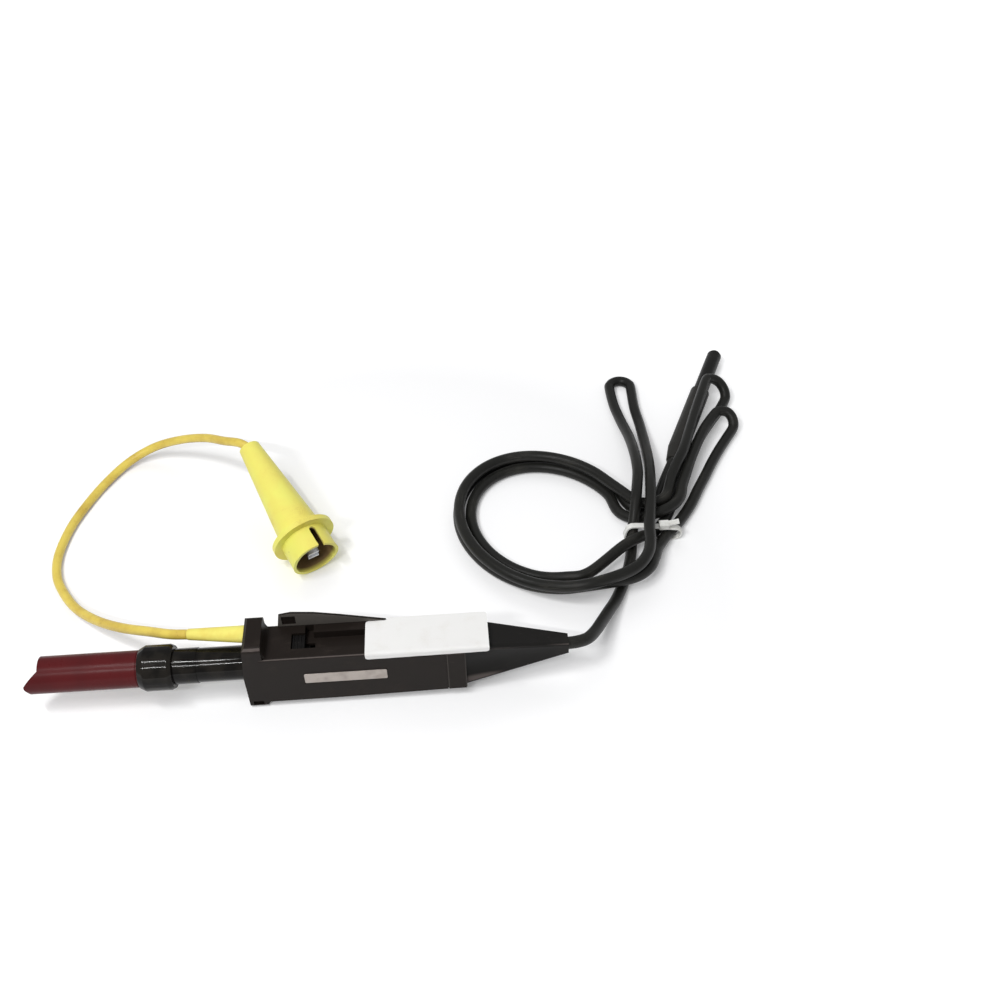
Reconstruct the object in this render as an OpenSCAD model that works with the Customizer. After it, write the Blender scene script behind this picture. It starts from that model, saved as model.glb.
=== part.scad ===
// Hand-held oscilloscope probe with a common lead, a spring clip and a plugged signal cable.
// Millimetres. +X runs from the nose to the cable, +Z is up, and the floor is z = 0.

/* [Nose] */
// Length of the nose tube in front of the ring nut
tube_reach = 56.8; // [47:0.1:68]
// Outer radius of the nose tube
tube_r = 9.5; // [8:0.1:11.4]
// Wall of the nose tube
tube_wall = 3; // [2:0.1:3.6]
// Depth of the hooked mouth in the nose tube
mouth_depth = 7.3; // [5:0.1:8.4]
// Length of the ring nut
nut_len = 17.4; // [14.5:0.1:21]
// Wall of the ring nut outside its running bore
nut_wall = 1.35; // [1.1:0.05:2]
// Number of flutes on the ring nut
nut_flutes = 24; // [12:1:30]
// Length of the neck behind the ring nut
neck_len = 11.9; // [9.9:0.1:14.4]
// Radius of the neck
neck_r = 9.15; // [7.6:0.05:10]
// Length of the barrel
barrel_len = 23.7; // [19:0.1:29]
// Radius of the barrel
barrel_r = 8.8; // [7.3:0.1:10.6]
// Radius of the contact rod
rod_r = 1.5; // [1.2:0.1:2]
// Height of the nose axis above the floor
axis_z = 23.6; // [22:0.1:25]

/* [Body] */
// Length of the casing
body_len = 93; // [90:1:112]
// Width of the casing
body_w = 22.8; // [21:0.1:27.4]
// Height of the top of the casing above the floor
body_top = 37.7; // [37:0.1:40]
// Height of the underside at the front
under_front = 3.5; // [2:0.1:5]
// Height of the underside at the back
under_back = 5.6; // [4.6:0.1:6.8]
// Wall of the casing
wall = 2; // [1.6:0.1:2.4]
// Radius of the long edges of the casing
edge_r = 1.2; // [0.8:0.1:1.6]
// Thickness of the finger-guard flange
flange_t = 9.2; // [8:0.1:11]
// Height of the flange
flange_h = 46.3; // [44:0.1:50]
// Length of the end collar
collar_len = 10; // [9:0.1:12]
// How far the collar stands proud of the casing's sides
collar_proud = 0.35; // [0.1:0.05:0.45]
// How far the boot is set in from the collar
boot_step = 1.2; // [1:0.1:1.6]
// Length of the strain boot
boot_len = 53; // [45:1:63]
// Side of the square back end of the strain boot
boot_tip = 8; // [7.6:0.1:9.6]
// Height of the cable's exit above the floor
exit_z = 22.5; // [20:0.1:25]

/* [Thumb slide] */
// Width of the slide channel
chan_w = 10; // [8.4:0.1:11]
// Depth of the slide channel
chan_depth = 4.5; // [4:0.1:5]
// Thickness of the channel floor
chan_floor_t = 1.6; // [1.3:0.1:1.9]
// Length of the thumb slide
slide_len = 6.2; // [5.2:0.1:7]
// Travel of the thumb slide
travel = 6; // [4:0.5:7]
// Length of the gate notch beside the channel
gate_len = 4.3; // [3.6:0.1:5]
// Number of grip ribs on the thumb slide
slide_ribs = 3; // [2:1:4]

/* [Guard fin] */
// Thickness of the guard fin
fin_t = 1.5; // [1.2:0.1:1.8]
// Height of the fin above the casing
fin_h = 9.5; // [8:0.1:11]
// Length of the fin
fin_len = 55; // [46:1:60]

/* [Plate and label] */
// Length of the rating plate
plate_len = 41.7; // [35:0.1:50]
// Height of the rating plate
plate_h = 7; // [6:0.1:8.4]
// Thickness of the rating plate
plate_t = 0.35; // [0.2:0.05:0.5]
// Length of the sticker
label_len = 62; // [52:1:70]
// How far the sticker folds down the front
label_flap = 3.4; // [2.8:0.1:4]
// Thickness of the sticker
label_t = 0.2; // [0.15:0.05:0.3]

/* [Common lead and clip] */
// Diameter of the common lead
lead_d = 5.2; // [4.4:0.1:5.6]
// Radius of the sleeve's wide end
sleeve_r = 4.65; // [4:0.05:5.4]
// Length of the clip housing from its small end to its disc
clip_len = 69; // [66:1:83]
// Radius of the clip housing's disc
disc_r = 18.5; // [17.5:0.1:19.4]
// Thickness of the disc
disc_t = 3; // [2.4:0.1:3.6]
// Radius of the clip housing's nose
mouth_r = 13.75; // [13:0.05:15.5]
// Wall of the clip housing's nose
mouth_wall = 1.75; // [1.3:0.05:2]
// Length of the clip housing's nose
mouth_len = 15.5; // [13:0.5:19]
// Width of each slot in the nose
slot_w = 3.8; // [3:0.1:4.6]
// Number of slots in the nose
slots = 1; // [1:1:4]
// Width of the moving jaw
jaw_w = 6.4; // [5.4:0.1:7.6]
// Number of teeth on each jaw
teeth = 7; // [5:1:9]

/* [Signal cable and plug] */
// Diameter of the signal cable
cable_d = 6.5; // [5.6:0.1:6.6]
// Gap between piled layers of the cable
layer_gap = 0.7; // [0.6:0.05:1]
// Outer radius of the plug grip
grip_r = 6.2; // [5.8:0.1:6.2]
// Length of the plug grip
grip_len = 71; // [62:1:75]
// Radius of the plug's sliding sheath
sheath_r = 4.75; // [4.5:0.05:5]
// Length of the sheath outside the grip
sheath_out = 44; // [38:1:50]
// Travel of the sheath
sheath_travel = 18; // [14:1:19]
// Radius of the plug pin
pin_r = 2; // [1.6:0.1:2.1]

/* [Clearances] */
// Radial running clearance of turning and sliding round parts
run = 0.1; // [0.05:0.01:0.1]
// Radial clearance of fixed round parts in their bores
seat = 0.05; // [0.02:0.01:0.08]
// Side clearance of the thumb slide in its channel
slide_gap = 0.2; // [0.1:0.05:0.3]

/* [Hidden] */
$fn = 64;
eps = 0.5;

// Stations along X, with the object's middle at X = 0
total = tube_reach + nut_len + neck_len + barrel_len + flange_t + body_len + collar_len + boot_len;
x_tip = -total / 2;
x_nut = x_tip + tube_reach;
x_neck = x_nut + nut_len;
x_barrel = x_neck + neck_len;
x_flange = x_barrel + barrel_len;
x_body = x_flange + flange_t;
x_collar = x_body + body_len;
x_boot = x_collar + collar_len;
x_end = x_boot + boot_len;
half_w = body_w / 2;

// Ring nut and bayonet
lip_t = 2;
lip_gap = 0.2;
spigot_r = tube_r + 0.8;
nut_bore = spigot_r + run;
nut_r = nut_bore + nut_wall;
collar_x0 = x_nut + lip_t + lip_gap;
tube_collar_len = 5.2;
flange_x0 = collar_x0 + tube_collar_len;
lug_w = 2;
lug_r = spigot_r + 0.6;
groove_r = lug_r + run;
lug_x = x_neck - 3.2;
nut_chamfer = 0.9;
flute_r = 0.9;
tube_bore = tube_r - tube_wall;
neck_bore = 5;
barrel_spigot = 3;
flange_spigot_r = 6;

// Contact rod and slide drive
tip_len = 4.5;
tip_r = 1.1;
rod_x0 = x_tip + 9.5;
bush_x0 = rod_x0 + 9;
bush_len = 8;
slide_x0 = x_body + 16.3;
chan_floor = body_top - chan_depth;
chan_x0 = slide_x0 - 0.5;
slide_h = 2.95;
rib_h = 0.45;
rib_gap = 0.9;
stem_len = 3;
stem_w = 2.8;
stem_gap = 0.2;
stem_x0 = slide_x0 + 1.6;
chan_under = chan_floor - chan_floor_t;
link_x0 = stem_x0 - 3.4;
link_len = 10;
link_w = 7;
link_top = chan_under - 0.4;
link_bottom = axis_z - 5.4;
stem_depth = 3.2;
peg_r = 2.2;
peg_len = 6;
spring_r = 3.2;
spring_wire = 0.9;
rib_x0 = link_x0 + link_len + travel + 14;
rib_t = 2;

// Casing details
cav_x1 = x_collar;
collar_spigot = 3;
screw_r = 1.25;
screw_head_r = 2.4;
screw_head_h = 1.6;
screw_in = 6;
boss_r = 3;
screw_spots = [[x_body + 6.5, 11], [rib_x0 + 6, 27], [x_collar - 8.5, 11.5]];
board_t = 1.6;
board_x0 = rib_x0 + rib_t + 2;
board_z = 14.5;
board_w = 17;
board_len = x_collar - collar_spigot - 1 - board_x0;
ledge_t = 1.6;
resistor_r = 2.3;
resistor_len = 20;
wire_r = 0.4;

// Fin outline: share of its length, share of its height
fin_x0 = x_body + 8.5;
fin_shape = [[0, -0.08], [0, 0.04], [0.024, 0.87], [0.136, 1], [0.344, 0.884], [0.58, 0.59],
    [0.82, 0.25], [1, 0], [1, -0.08]];

// Flange: how far its upper half leans back, its top bevel, its blends along the body and its pocket
flange_lean = 2;
flange_bevel = 1.6;
blend_top = 4.6;
blend_rise = 7.4;
blend_foot = 3.4;
pocket = [1.9, 7.3];
pocket_z = [2, 5.3];
pocket_depth = 1.6;

// Cable and boot
cable_r = cable_d / 2;
boot_round = 2.4;
clamp_r = 6;
label_x0 = x_collar - 40.1;
plate_x0 = x_body + 21.1;
plate_z = 18.2;

// Sleeve of the common lead
sleeve_a = [-27.7, 6.5, 38];
sleeve_b = [-56, 11.5, 34.5];
sleeve_in = 3.5;
lug_pin_r = 1.25;

// Clip housing frame: origin at the small end, X along its axis
clip_at = [-36.11, 150.22, 37.3];
clip_turn = [0, 16, -61];
clip_axis = [cos(clip_turn[1]) * cos(clip_turn[2]), cos(clip_turn[1]) * sin(clip_turn[2]), -sin(clip_turn[1])];
small_r = 6.3;
cone_r = 13.2;
cavity_x0 = 6;
cavity_r = 4.2;
slot_turn = -15;
slot_x0 = clip_len + disc_t / 2 + 3;
hinge_x = clip_len - 14;
jaw_tip = clip_len + mouth_len - 2.5;
jaw_gap = 0.15;
jaw_pin_r = 1.2;
// Crimp barrel of the fixed jaw, with the lead's end in it
crimp_x0 = hinge_x - 46;
crimp_x1 = hinge_x - 25;
lead_end = hinge_x - 36;
crimp_t = 1.1;
ear_t = 0.9;
ear_gap = 0.25;
jaw_h = 4.4;

// Mouth of the nose tube: turn about its axis, and what is cut away across the tube
mouth_turn = 28.5;
lip_at = 7.1;
mouth_cuts = [[[-eps, tube_r + eps], [mouth_depth - 0.6, tube_r + eps], [mouth_depth, 0], [0, -lip_at],
    [-eps, -lip_at - 0.2]], [[-eps, -lip_at - 0.6], [0.3, -lip_at - 1.4], [1, -lip_at - 2],
    [2.4, -tube_r - eps], [-eps, -tube_r - eps]]];

// Relief grooves that end the plain outsides of the nose tube and the sheath
relief_w = 0.8;
relief_depth = 0.3;

// Plug frame: origin at the rear of the grip, X along its axis
plug_at = [219, 151, 6.28];
plug_turn = 66;
sheath_in = 5;
sheath_bore = sheath_r - 1.15;
spring_least = 12;
pin_in = 12;
spring_end = grip_len - sheath_in - sheath_travel - spring_least;

// Route of the common lead
lead_route = [[-56, 11.5, 34.5], [-66, 14, 32.6], [-78, 20.5, 28], [-97, 31.5, 20], [-114.5, 45, 12],
    [-129.5, 60, 6], [-140.5, 76, 3.2], [-146.5, 89.5, 2.7], [-148.5, 105.5, 2.7],
    [-146, 126, 2.7], [-140.5, 144, 2.7], [-132, 163.5, 2.9], [-119.9, 180.9, 4.4],
    [-103.3, 187.2, 10.5], [-84.6, 182.4, 19.5], [-66.6, 172.9, 28], [-52.8, 161.5, 34.5],
    [-42.5, 154.3, 38.4], [-36.11, 150.22, 37.3]];

// Route of the cable from the boot to the tie, laid under the loops
cable_in = [[137.5, 0, 22.5], [143, 1, 22], [148.5, 4.5, 20], [153.5, 12, 16.5], [158.5, 22, 12.2],
    [163.5, 32, 8.2], [168.5, 41.5, 5], [173, 51, 3.6], [177, 60.5, 3.4], [180.5, 70, 3.4],
    [183, 80, 3.4]];

// Tied loops: guide points give x, y and the layer; rounds come from sizes and angles
layer_z = 3.4;
layer_pitch = cable_d + layer_gap;
function ease(t) = let (u = min(max(t, 0), 1)) u * u * (3 - 2 * u);
// Round of the big loops: centre, half lengths, tilt, layer, angles, steps, shift at the crossing
function big_loop(c, a, b, tilt, layer, a0, a1, n, shift) = [for (k = [0:n])
    let (f = a0 + (a1 - a0) * k / n, h = 1 - ease((-72 - f) / 42), x = a * cos(f - tilt),
        y = b * sin(f - tilt))
    [c[0] + x * cos(tilt) - y * sin(tilt), c[1] + x * sin(tilt) + y * cos(tilt) - shift * h,
        layer + h]];
// Small turn about a centre: one layer for each step
function turn(c, r, a0, a1, layers) = [for (k = [0:len(layers) - 1])
    let (a = a0 + (a1 - a0) * k / (len(layers) - 1)) [c[0] + r * cos(a), c[1] + r * sin(a), layers[k]]];
flat7 = [0, 0, 0, 0, 0, 0, 0];
loop_guide = concat(
    [[183, 80, 0], [185, 91, 0.2], [187.5, 101, 1.3], [189.5, 110, 1.95], [191.5, 120, 2.1],
        [193.5, 132, 2.1], [194.5, 150, 1.7], [194.5, 172, 0.9], [192.5, 194, 0.2], [190.5, 212, 0]],
    turn([197, 229], 7, 182, -4, flat7),
    [[203.4, 208, 0], [204.3, 189, 0.1], [203.7, 165, 0.75], [202, 141, 1.6], [199.5, 121, 2.1],
        [197.3, 106, 2.1], [195, 94, 2.05], [193.3, 84, 1.98], [192.3, 74, 1.98], [189.5, 64.5, 1.98],
        [183, 55.5, 2], [172.5, 49.5, 2]],
    big_loop([137, 103.7], 58, 48.2, 124, 1, -75, -328, 15, 5.5),
    turn([198, 124], 13, 206, 340, [1, 1, 1, 1, 1, 1.05]),
    [[214.5, 131, 1.3], [219.5, 141, 1.6], [224.5, 150, 1.8], [232, 169, 1.8], [239, 187, 1.8],
        [246, 204, 1.8]],
    turn([257, 212.5], 7, 148, -32, [1.75, 1.65, 1.45, 1.15, 0.75, 0.4, 0.1]),
    [[257, 199, 0], [248.5, 187, 0], [239, 172, 0], [230.5, 155, 0], [222.5, 138, 0],
        [214.5, 120, 0], [206, 103, 0], [197.5, 92.5, 0.2], [188, 84, 0.95], [177.5, 77, 1.05]],
    big_loop([137.5, 108.8], 49.6, 42.6, 126, 0, -70, -332, 15, 4.5),
    turn([198, 124], 21, 206, 335, [0, 0.02, 0.25, 0.78, 1.02, 1.05, 1.05]),
    [[220, 125, 1.05], [224.5, 136, 1.05], [229, 147, 1.05], [236, 162, 1.05], [243.5, 176, 1.05]],
    turn([257, 184], 6.5, 138, -32, [1.05, 1.05, 1.05, 0.95, 0.7, 0.4, 0.1]),
    [[257, 172.5, 0], [249.5, 161, 0], [243, 150, 0], [237, 139, 0], [230.5, 127.5, 0],
        [223.5, 114.5, 0], [214.5, 101.5, 0], [205.5, 90.5, 0.15], [198.5, 79.5, 0.35],
        [194.5, 69, 0.7], [190.5, 60.5, 0.95], [183.5, 54.5, 1], [173.5, 51.5, 1]],
    big_loop([137.5, 108.8], 57, 50, 126, 0, -76, -328, 15, 6),
    turn([195, 124], 10, 206, 340, [0, 0, 0, 0, 0, 0]),
    [[209, 131, 0], [213.5, 140.5, 0.15], [219, 151, 0.4]]);
loop_points = [for (p = loop_guide) [p[0], p[1], layer_z + p[2] * layer_pitch]];

// Smooth curve through a list of points, with n steps between two points
function curve(p, n) = let (m = len(p) - 1) concat([for (i = [0:m - 1], k = [0:n - 1])
    let (a = i > 0 ? p[i - 1] : 2 * p[0] - p[1], b = p[i], c = p[i + 1],
        d = i < m - 1 ? p[i + 2] : 2 * p[m] - p[m - 1], t = k / n)
    (2 * b + (c - a) * t + (2 * a - 5 * b + 4 * c - d) * t * t
        + (3 * b - a - 3 * c + d) * t * t * t) / 2], [p[m]]);
function unit(v) = v / norm(v);
// Frames carried along the path without twisting
function frames(p, t, i, f) = i >= len(p) ? f
    : let (n = f[i - 1], v = n - (n * t[i]) * t[i]) frames(p, t, i + 1, concat(f, [unit(v)]));
module swept(p, r, sides, first = [0, 0, 0], last = [0, 0, 0]) {
    m = len(p);
    t = [for (i = [0:m - 1]) i == 0 && norm(first) > 0 ? unit(first)
        : i == m - 1 && norm(last) > 0 ? unit(last) : unit(p[min(i + 1, m - 1)] - p[max(i - 1, 0)])];
    up = abs(t[0][2]) < 0.9 ? [0, 0, 1] : [1, 0, 0];
    f = frames(p, t, 1, [unit(up - (up * t[0]) * t[0])]);
    points = [for (i = [0:m - 1], k = [0:sides - 1]) let (b = cross(t[i], f[i]), a = 360 * k / sides)
        p[i] + r * (cos(a) * f[i] + sin(a) * b)];
    skin = [for (i = [0:m - 2], k = [0:sides - 1]) let (j = (k + 1) % sides, a = i * sides)
        each [[a + k, a + sides + k, a + j], [a + j, a + sides + k, a + sides + j]]];
    // Each end is a fan of triangles about its first corner
    ends = [for (k = [1:sides - 2]) each [[0, k, k + 1],
        [(m - 1) * sides, (m - 1) * sides + k + 1, (m - 1) * sides + k]]];
    polyhedron(points = points, faces = concat(skin, ends), convexity = 12);
}
// Least gap of a tube to itself, on points further apart along it than 3 diameters
function lengths(p, i, s) = i >= len(p) ? s : lengths(p, i + 1, concat(s, [s[i - 1] + norm(p[i] - p[i - 1])]));
function self_gap(p, d) = let (s = lengths(p, 1, [0]))
    min([for (i = [0:len(p) - 1]) min([for (j = [i:len(p) - 1])
        s[j] - s[i] > 3.2 * d ? norm(p[j] - p[i]) - d : 99])]);
loop_fine = curve(loop_points, 6);
echo(least_gap_of_the_loops = self_gap(loop_fine, cable_d),
    length = lengths(loop_fine, 1, [0])[len(loop_fine) - 1]);

// Coil of round wire along X
function coil(x0, x1, r, turns, steps) = [for (k = [0:turns * steps])
    let (a = 360 * k / steps) [x0 + (x1 - x0) * k / (turns * steps), r * cos(a), r * sin(a)]];

module rounded(w, h, r) {
    translate([-w / 2 + r, -h / 2]) square([w - 2 * r, h]);
    translate([-w / 2, -h / 2 + r]) square([w, h - 2 * r]);
    for (x = [-1, 1], y = [-1, 1]) translate([x * (w / 2 - r), y * (h / 2 - r)]) circle(r, $fn = 32);
}
// Bar along X from x0, with a rounded section of width w from z0 to z1
module bar_x(x0, length, w, z0, z1, r)
    translate([x0, 0, (z0 + z1) / 2]) rotate([90, 0, 90]) linear_extrude(length) rounded(w, z1 - z0, r);
module box(x, y, z) translate([x[0], y[0], z[0]]) cube([x[1] - x[0], y[1] - y[0], z[1] - z[0]]);
module rod_x(x0, x1, r, z = axis_z, y = 0)
    translate([x0, y, z]) rotate([0, 90, 0]) cylinder(h = x1 - x0, r = r);
// Plate in the XZ plane between two values of y
module plate_y(points, y0, y1) translate([0, y1, 0]) rotate([90, 0, 0]) linear_extrude(y1 - y0) polygon(points);

function under(x) = under_front + (under_back - under_front) * (x - x_body) / body_len;

module case_solid(side) {
    y0 = side < 0 ? -half_w - eps : 0;
    difference() {
        intersection() {
            bar_x(x_body, body_len, body_w, under_front, body_top, edge_r);
            plate_y([[x_body, under(x_body)], [x_collar, under(x_collar)], [x_collar, body_top + eps],
                [x_body, body_top + eps]], y0, y0 + half_w + eps);
        }
        // Cavity, open at the back for the end collar
        difference() {
            plate_y([[x_body + wall, under(x_body) + wall], [cav_x1 + eps, under(x_collar) + wall],
                [cav_x1 + eps, chan_under], [x_body + wall, chan_under]], -half_w + wall, half_w - wall);
            // Spring rib, board ledges and screw bosses stand in the cavity
            box([rib_x0, rib_x0 + rib_t], [-half_w, half_w], [axis_z - 8, body_top]);
            for (s = [-1, 1]) box([board_x0, board_x0 + board_len], s < 0 ? [-half_w, -board_w / 2 + 1]
                : [board_w / 2 - 1, half_w], [board_z - ledge_t, board_z]);
            for (p = screw_spots) translate([p[0], half_w, p[1]]) rotate([90, 0, 0])
                cylinder(h = body_w, r = boss_r);
        }
        // Slide channel and the slot for the slide's stem
        box([chan_x0, label_x0 + 26], [-chan_w / 2, chan_w / 2], [chan_floor, body_top + eps]);
        box([stem_x0 - eps, stem_x0 + stem_len + travel + eps], [-stem_w / 2 - stem_gap, stem_w / 2 + stem_gap],
            [chan_under - eps, chan_floor + eps]);
        // Way for the contact rod
        rod_x(x_body - eps, x_body + wall + eps, rod_r + 1);
        // Holes for the screws
        for (p = screw_spots) translate([p[0], half_w + eps, p[1]]) rotate([90, 0, 0]) {
            cylinder(h = half_w + screw_in + 2 * eps, r = screw_r + seat);
            cylinder(h = screw_head_h + eps, r = screw_head_r + run);
        }
    }
}
module casing_front() color("#222222") case_solid(-1);
module casing_back() color("#222222") difference() {
    union() {
        case_solid(1);
        plate_y([for (p = fin_shape) [fin_x0 + p[0] * fin_len, body_top + p[1] * fin_h]],
            half_w - fin_t, half_w);
    }
    // Gate notch from the channel to the fin
    box([slide_x0 + slide_len, slide_x0 + slide_len + gate_len], [0, half_w - fin_t],
        [chan_floor, body_top + eps]);
    // Window recess in the fin
    box([fin_x0 + 2.5, fin_x0 + 9.5], [half_w - fin_t - eps, half_w - fin_t / 2],
        [body_top + 1.5, body_top + fin_h - 2]);
}
// Hollow blend between the flange and the body: from x0 along the body, and up or down from z0
function blend(x0, length, z0, rise) = concat([[x0 - eps, z0], [x0 - eps, z0 + rise]],
    [for (k = [8:-1:0]) [x0 + length * (1 - sin(90 * k / 8)), z0 + rise * (1 - cos(90 * k / 8))]]);
// Side outline of the flange, from its foot round its back to its front face
flange_side = [[x_flange, 0], [x_body, 0], [x_body, body_top], [x_body + flange_lean, body_top],
    [x_body + flange_lean, flange_h], [x_flange + flange_lean + flange_bevel, flange_h],
    [x_flange + flange_lean, flange_h - flange_bevel], [x_flange, axis_z]];
module guard_flange() color("#1c1c1c") difference() {
    union() {
        intersection() {
            bar_x(x_flange, flange_t + flange_lean, body_w, 0, flange_h, 3);
            plate_y(flange_side, -half_w, half_w);
        }
        intersection() {
            bar_x(x_flange, 2 * flange_t, body_w - 2 * edge_r, 0, flange_h, 3 - edge_r);
            union() {
                plate_y(blend(x_body + flange_lean, blend_top - flange_lean, body_top, blend_rise),
                    -half_w, half_w);
                plate_y(blend(x_body, blend_foot, under_front, -under_front), -half_w, half_w);
            }
        }
    }
    rod_x(x_flange - eps, x_body + eps, rod_r + 1);
    rod_x(x_flange - eps, x_flange + barrel_spigot, flange_spigot_r + seat);
    box(x_flange * [1, 1] + pocket, [-half_w - eps, -half_w + pocket_depth], pocket_z);
    along(sleeve_a, sleeve_b) translate([-6, 0, 0]) rod_x(-eps, 7, lug_pin_r + seat, 0);
}
module barrel() color("#202020") difference() {
    union() {
        rod_x(x_barrel, x_flange, barrel_r);
        rod_x(x_flange - eps, x_flange + barrel_spigot, flange_spigot_r);
        rod_x(x_barrel - barrel_spigot, x_barrel + eps, neck_bore - seat);
    }
    rod_x(x_barrel - barrel_spigot - eps, x_flange + barrel_spigot + eps, rod_r + run);
}
module neck() color("#181818") difference() {
    union() {
        rod_x(x_neck, x_barrel, neck_r);
        rod_x(flange_x0, x_neck - lip_gap, spigot_r);
        rod_x(x_neck - eps, x_neck + eps, neck_r);
        for (a = [0, 180]) translate([lug_x, 0, axis_z]) rotate([a, 0, 0]) cylinder(h = lug_r, r = lug_w / 2);
    }
    rod_x(flange_x0 - eps, x_barrel + eps, neck_bore);
}
// Ring cut from a round outside of radius r, from x0 on
module relief(x0, r, z = 0) difference() {
    rod_x(x0, x0 + relief_w, r + 1, z);
    rod_x(x0 - eps, x0 + relief_w + eps, r - relief_depth, z);
}
module nose_tube() color("#5a2a2a") difference() {
    union() {
        rod_x(x_tip, flange_x0, tube_r);
        rod_x(collar_x0, flange_x0, spigot_r);
    }
    rod_x(x_tip - eps, flange_x0 + eps, tube_bore);
    // Hooked mouth, cut straight through the tube: one lip stands forward, with a rounded corner
    translate([x_tip, 0, axis_z]) rotate([mouth_turn, 0, 0]) translate([0, 0, -tube_r - eps])
        linear_extrude(2 * tube_r + 2 * eps) for (cut = mouth_cuts) polygon(cut);
    relief(x_nut - relief_w, tube_r, axis_z);
}
module nose_bush() color("#d8d2c4") difference() {
    rod_x(bush_x0, bush_x0 + bush_len, tube_bore - seat);
    rod_x(bush_x0 - eps, bush_x0 + bush_len + eps, rod_r + run);
}
module ring_nut() color("#151515") difference() {
    union() {
        rod_x(x_nut, x_neck - 2 * nut_chamfer, nut_r);
        translate([x_neck - 2 * nut_chamfer, 0, axis_z]) rotate([0, 90, 0])
            cylinder(h = 2 * nut_chamfer, r1 = nut_r, r2 = nut_r - nut_chamfer);
    }
    rod_x(x_nut - eps, x_nut + lip_t + eps, tube_r + run);
    rod_x(x_nut + lip_t, x_neck + eps, nut_bore);
    // Bayonet groove and its two entry slots, a quarter turn from the lugs
    rod_x(lug_x - lug_w / 2 - lip_gap, lug_x + lug_w / 2 + lip_gap, groove_r);
    intersection() {
        rod_x(lug_x, x_neck + eps, groove_r);
        box([lug_x, x_neck + eps], [-nut_r, nut_r], axis_z * [1, 1] + (lug_w / 2 + lip_gap) * [-1, 1]);
    }
    for (k = [0:nut_flutes - 1]) translate([0, 0, axis_z]) rotate([k * 360 / nut_flutes + 7.5, 0, 0])
        rod_x(x_nut + 3, x_neck - 2.4, flute_r, nut_r + flute_r - 0.3);
}
module thumb_slide() color("#303030") {
    w = chan_w - 2 * slide_gap;
    difference() {
        box([slide_x0, slide_x0 + slide_len], [-w / 2, w / 2],
            [chan_floor + 0.05, chan_floor + slide_h + rib_h]);
        for (k = [0:slide_ribs]) let (x = slide_x0 + k * (slide_len + rib_gap) / (slide_ribs + 1))
            box([x - rib_gap, x], [-half_w, half_w], [chan_floor + slide_h, body_top + eps]);
    }
    box([stem_x0, stem_x0 + stem_len], [-stem_w / 2, stem_w / 2], [link_top - stem_depth, chan_floor + 1]);
}
module drive_link() color("#3a3a3c") difference() {
    union() {
        box([link_x0, link_x0 + link_len], [-link_w / 2, link_w / 2], [link_bottom, link_top]);
        rod_x(link_x0 + link_len - eps, link_x0 + link_len + peg_len, peg_r);
    }
    box([stem_x0 - seat, stem_x0 + stem_len + seat], [-stem_w / 2 - seat, stem_w / 2 + seat],
        [link_top - stem_depth - seat, link_top + eps]);
    rod_x(link_x0 - eps, link_x0 + link_len - 3, rod_r + seat);
}
module contact_rod() color("#c8a45a") rod_x(rod_x0, link_x0 + link_len - 3, rod_r);
module contact_tip() color("#d9b96a") {
    rod_x(rod_x0 - 2, rod_x0, tip_r);
    translate([rod_x0 - 2, 0, axis_z]) rotate([0, -90, 0]) cylinder(h = tip_len - 2, r1 = tip_r, r2 = 0.3);
}
module return_spring() color("#b8b8bc") translate([0, 0, axis_z])
    swept(coil(link_x0 + link_len + spring_wire / 2 + 0.1, rib_x0 - spring_wire / 2 - 0.1, spring_r, 7, 10),
        spring_wire / 2, 6);

module divider_board() color("#3e6b3a")
    box([board_x0 + 1, board_x0 + board_len - 1], [-board_w / 2, board_w / 2], [board_z, board_z + board_t]);
module divider_resistors() color("#b7553a") for (y = [-4.5, 4.5]) {
    x0 = board_x0 + 8;
    z = board_z + board_t + resistor_r;
    rod_x(x0, x0 + resistor_len, resistor_r, z, y);
    rod_x(x0 - 2.4, x0 + resistor_len + 2.4, wire_r, z, y);
    for (x = [x0 - 2.4, x0 + resistor_len + 2.4]) translate([x, y, board_z + board_t])
        cylinder(h = resistor_r + wire_r, r = wire_r);
}
module trim_capacitor() color("#cfc49a") translate([board_x0 + board_len - 7, 0, board_z + board_t])
    difference() {
        cylinder(h = 4, r = 3.4);
        translate([-2.6, -0.4, 3.2]) cube([5.2, 0.8, 2]);
    }
module case_screws() color("#8a8c90") for (p = screw_spots) translate([p[0], half_w, p[1]])
    rotate([90, 0, 0]) difference() {
        union() {
            cylinder(h = screw_head_h, r = screw_head_r);
            cylinder(h = half_w + screw_in, r = screw_r);
        }
        for (a = [0, 90]) rotate([0, 0, a]) translate([-1.5, -0.3, -eps]) cube([3, 0.6, 0.8 + eps]);
    }

module end_collar() color("#1e1e1e") difference() {
    union() {
        bar_x(x_collar, collar_len, body_w, under_back, body_top, edge_r);
        intersection() {
            bar_x(x_collar, collar_len, body_w + 2 * collar_proud, under_back - collar_proud, body_top, edge_r);
            box([x_collar + 0.6, x_boot - 0.3], [-body_w, body_w], [0, body_top - label_flap - 0.6]);
        }
        // Spigot into the casing
        box([x_collar - collar_spigot, x_collar + eps], [-half_w + wall + seat, half_w - wall - seat],
            [under_back + wall + seat, chan_under - seat]);
        // Skid that the back of the body rests on
        box([x_collar + 1.5, x_boot - 1.5], [-5, 5], [0, under_back + 1]);
    }
    rod_x(x_collar - collar_spigot - eps, x_boot + eps, cable_r + run, exit_z);
    rod_x(x_boot - 5, x_boot + eps, clamp_r + seat, exit_z);
}
module strain_boot() color("#202020") difference() {
    hull() {
        bar_x(x_boot, 0.02, body_w - 2 * boot_step, under_back + boot_step / 2, body_top - boot_step,
            boot_round);
        bar_x(x_end - 0.02, 0.02, boot_tip, exit_z - boot_tip / 2, exit_z + boot_tip / 2, 1.5);
    }
    rod_x(x_boot - eps, x_end + eps, cable_r + run, exit_z);
}
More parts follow.
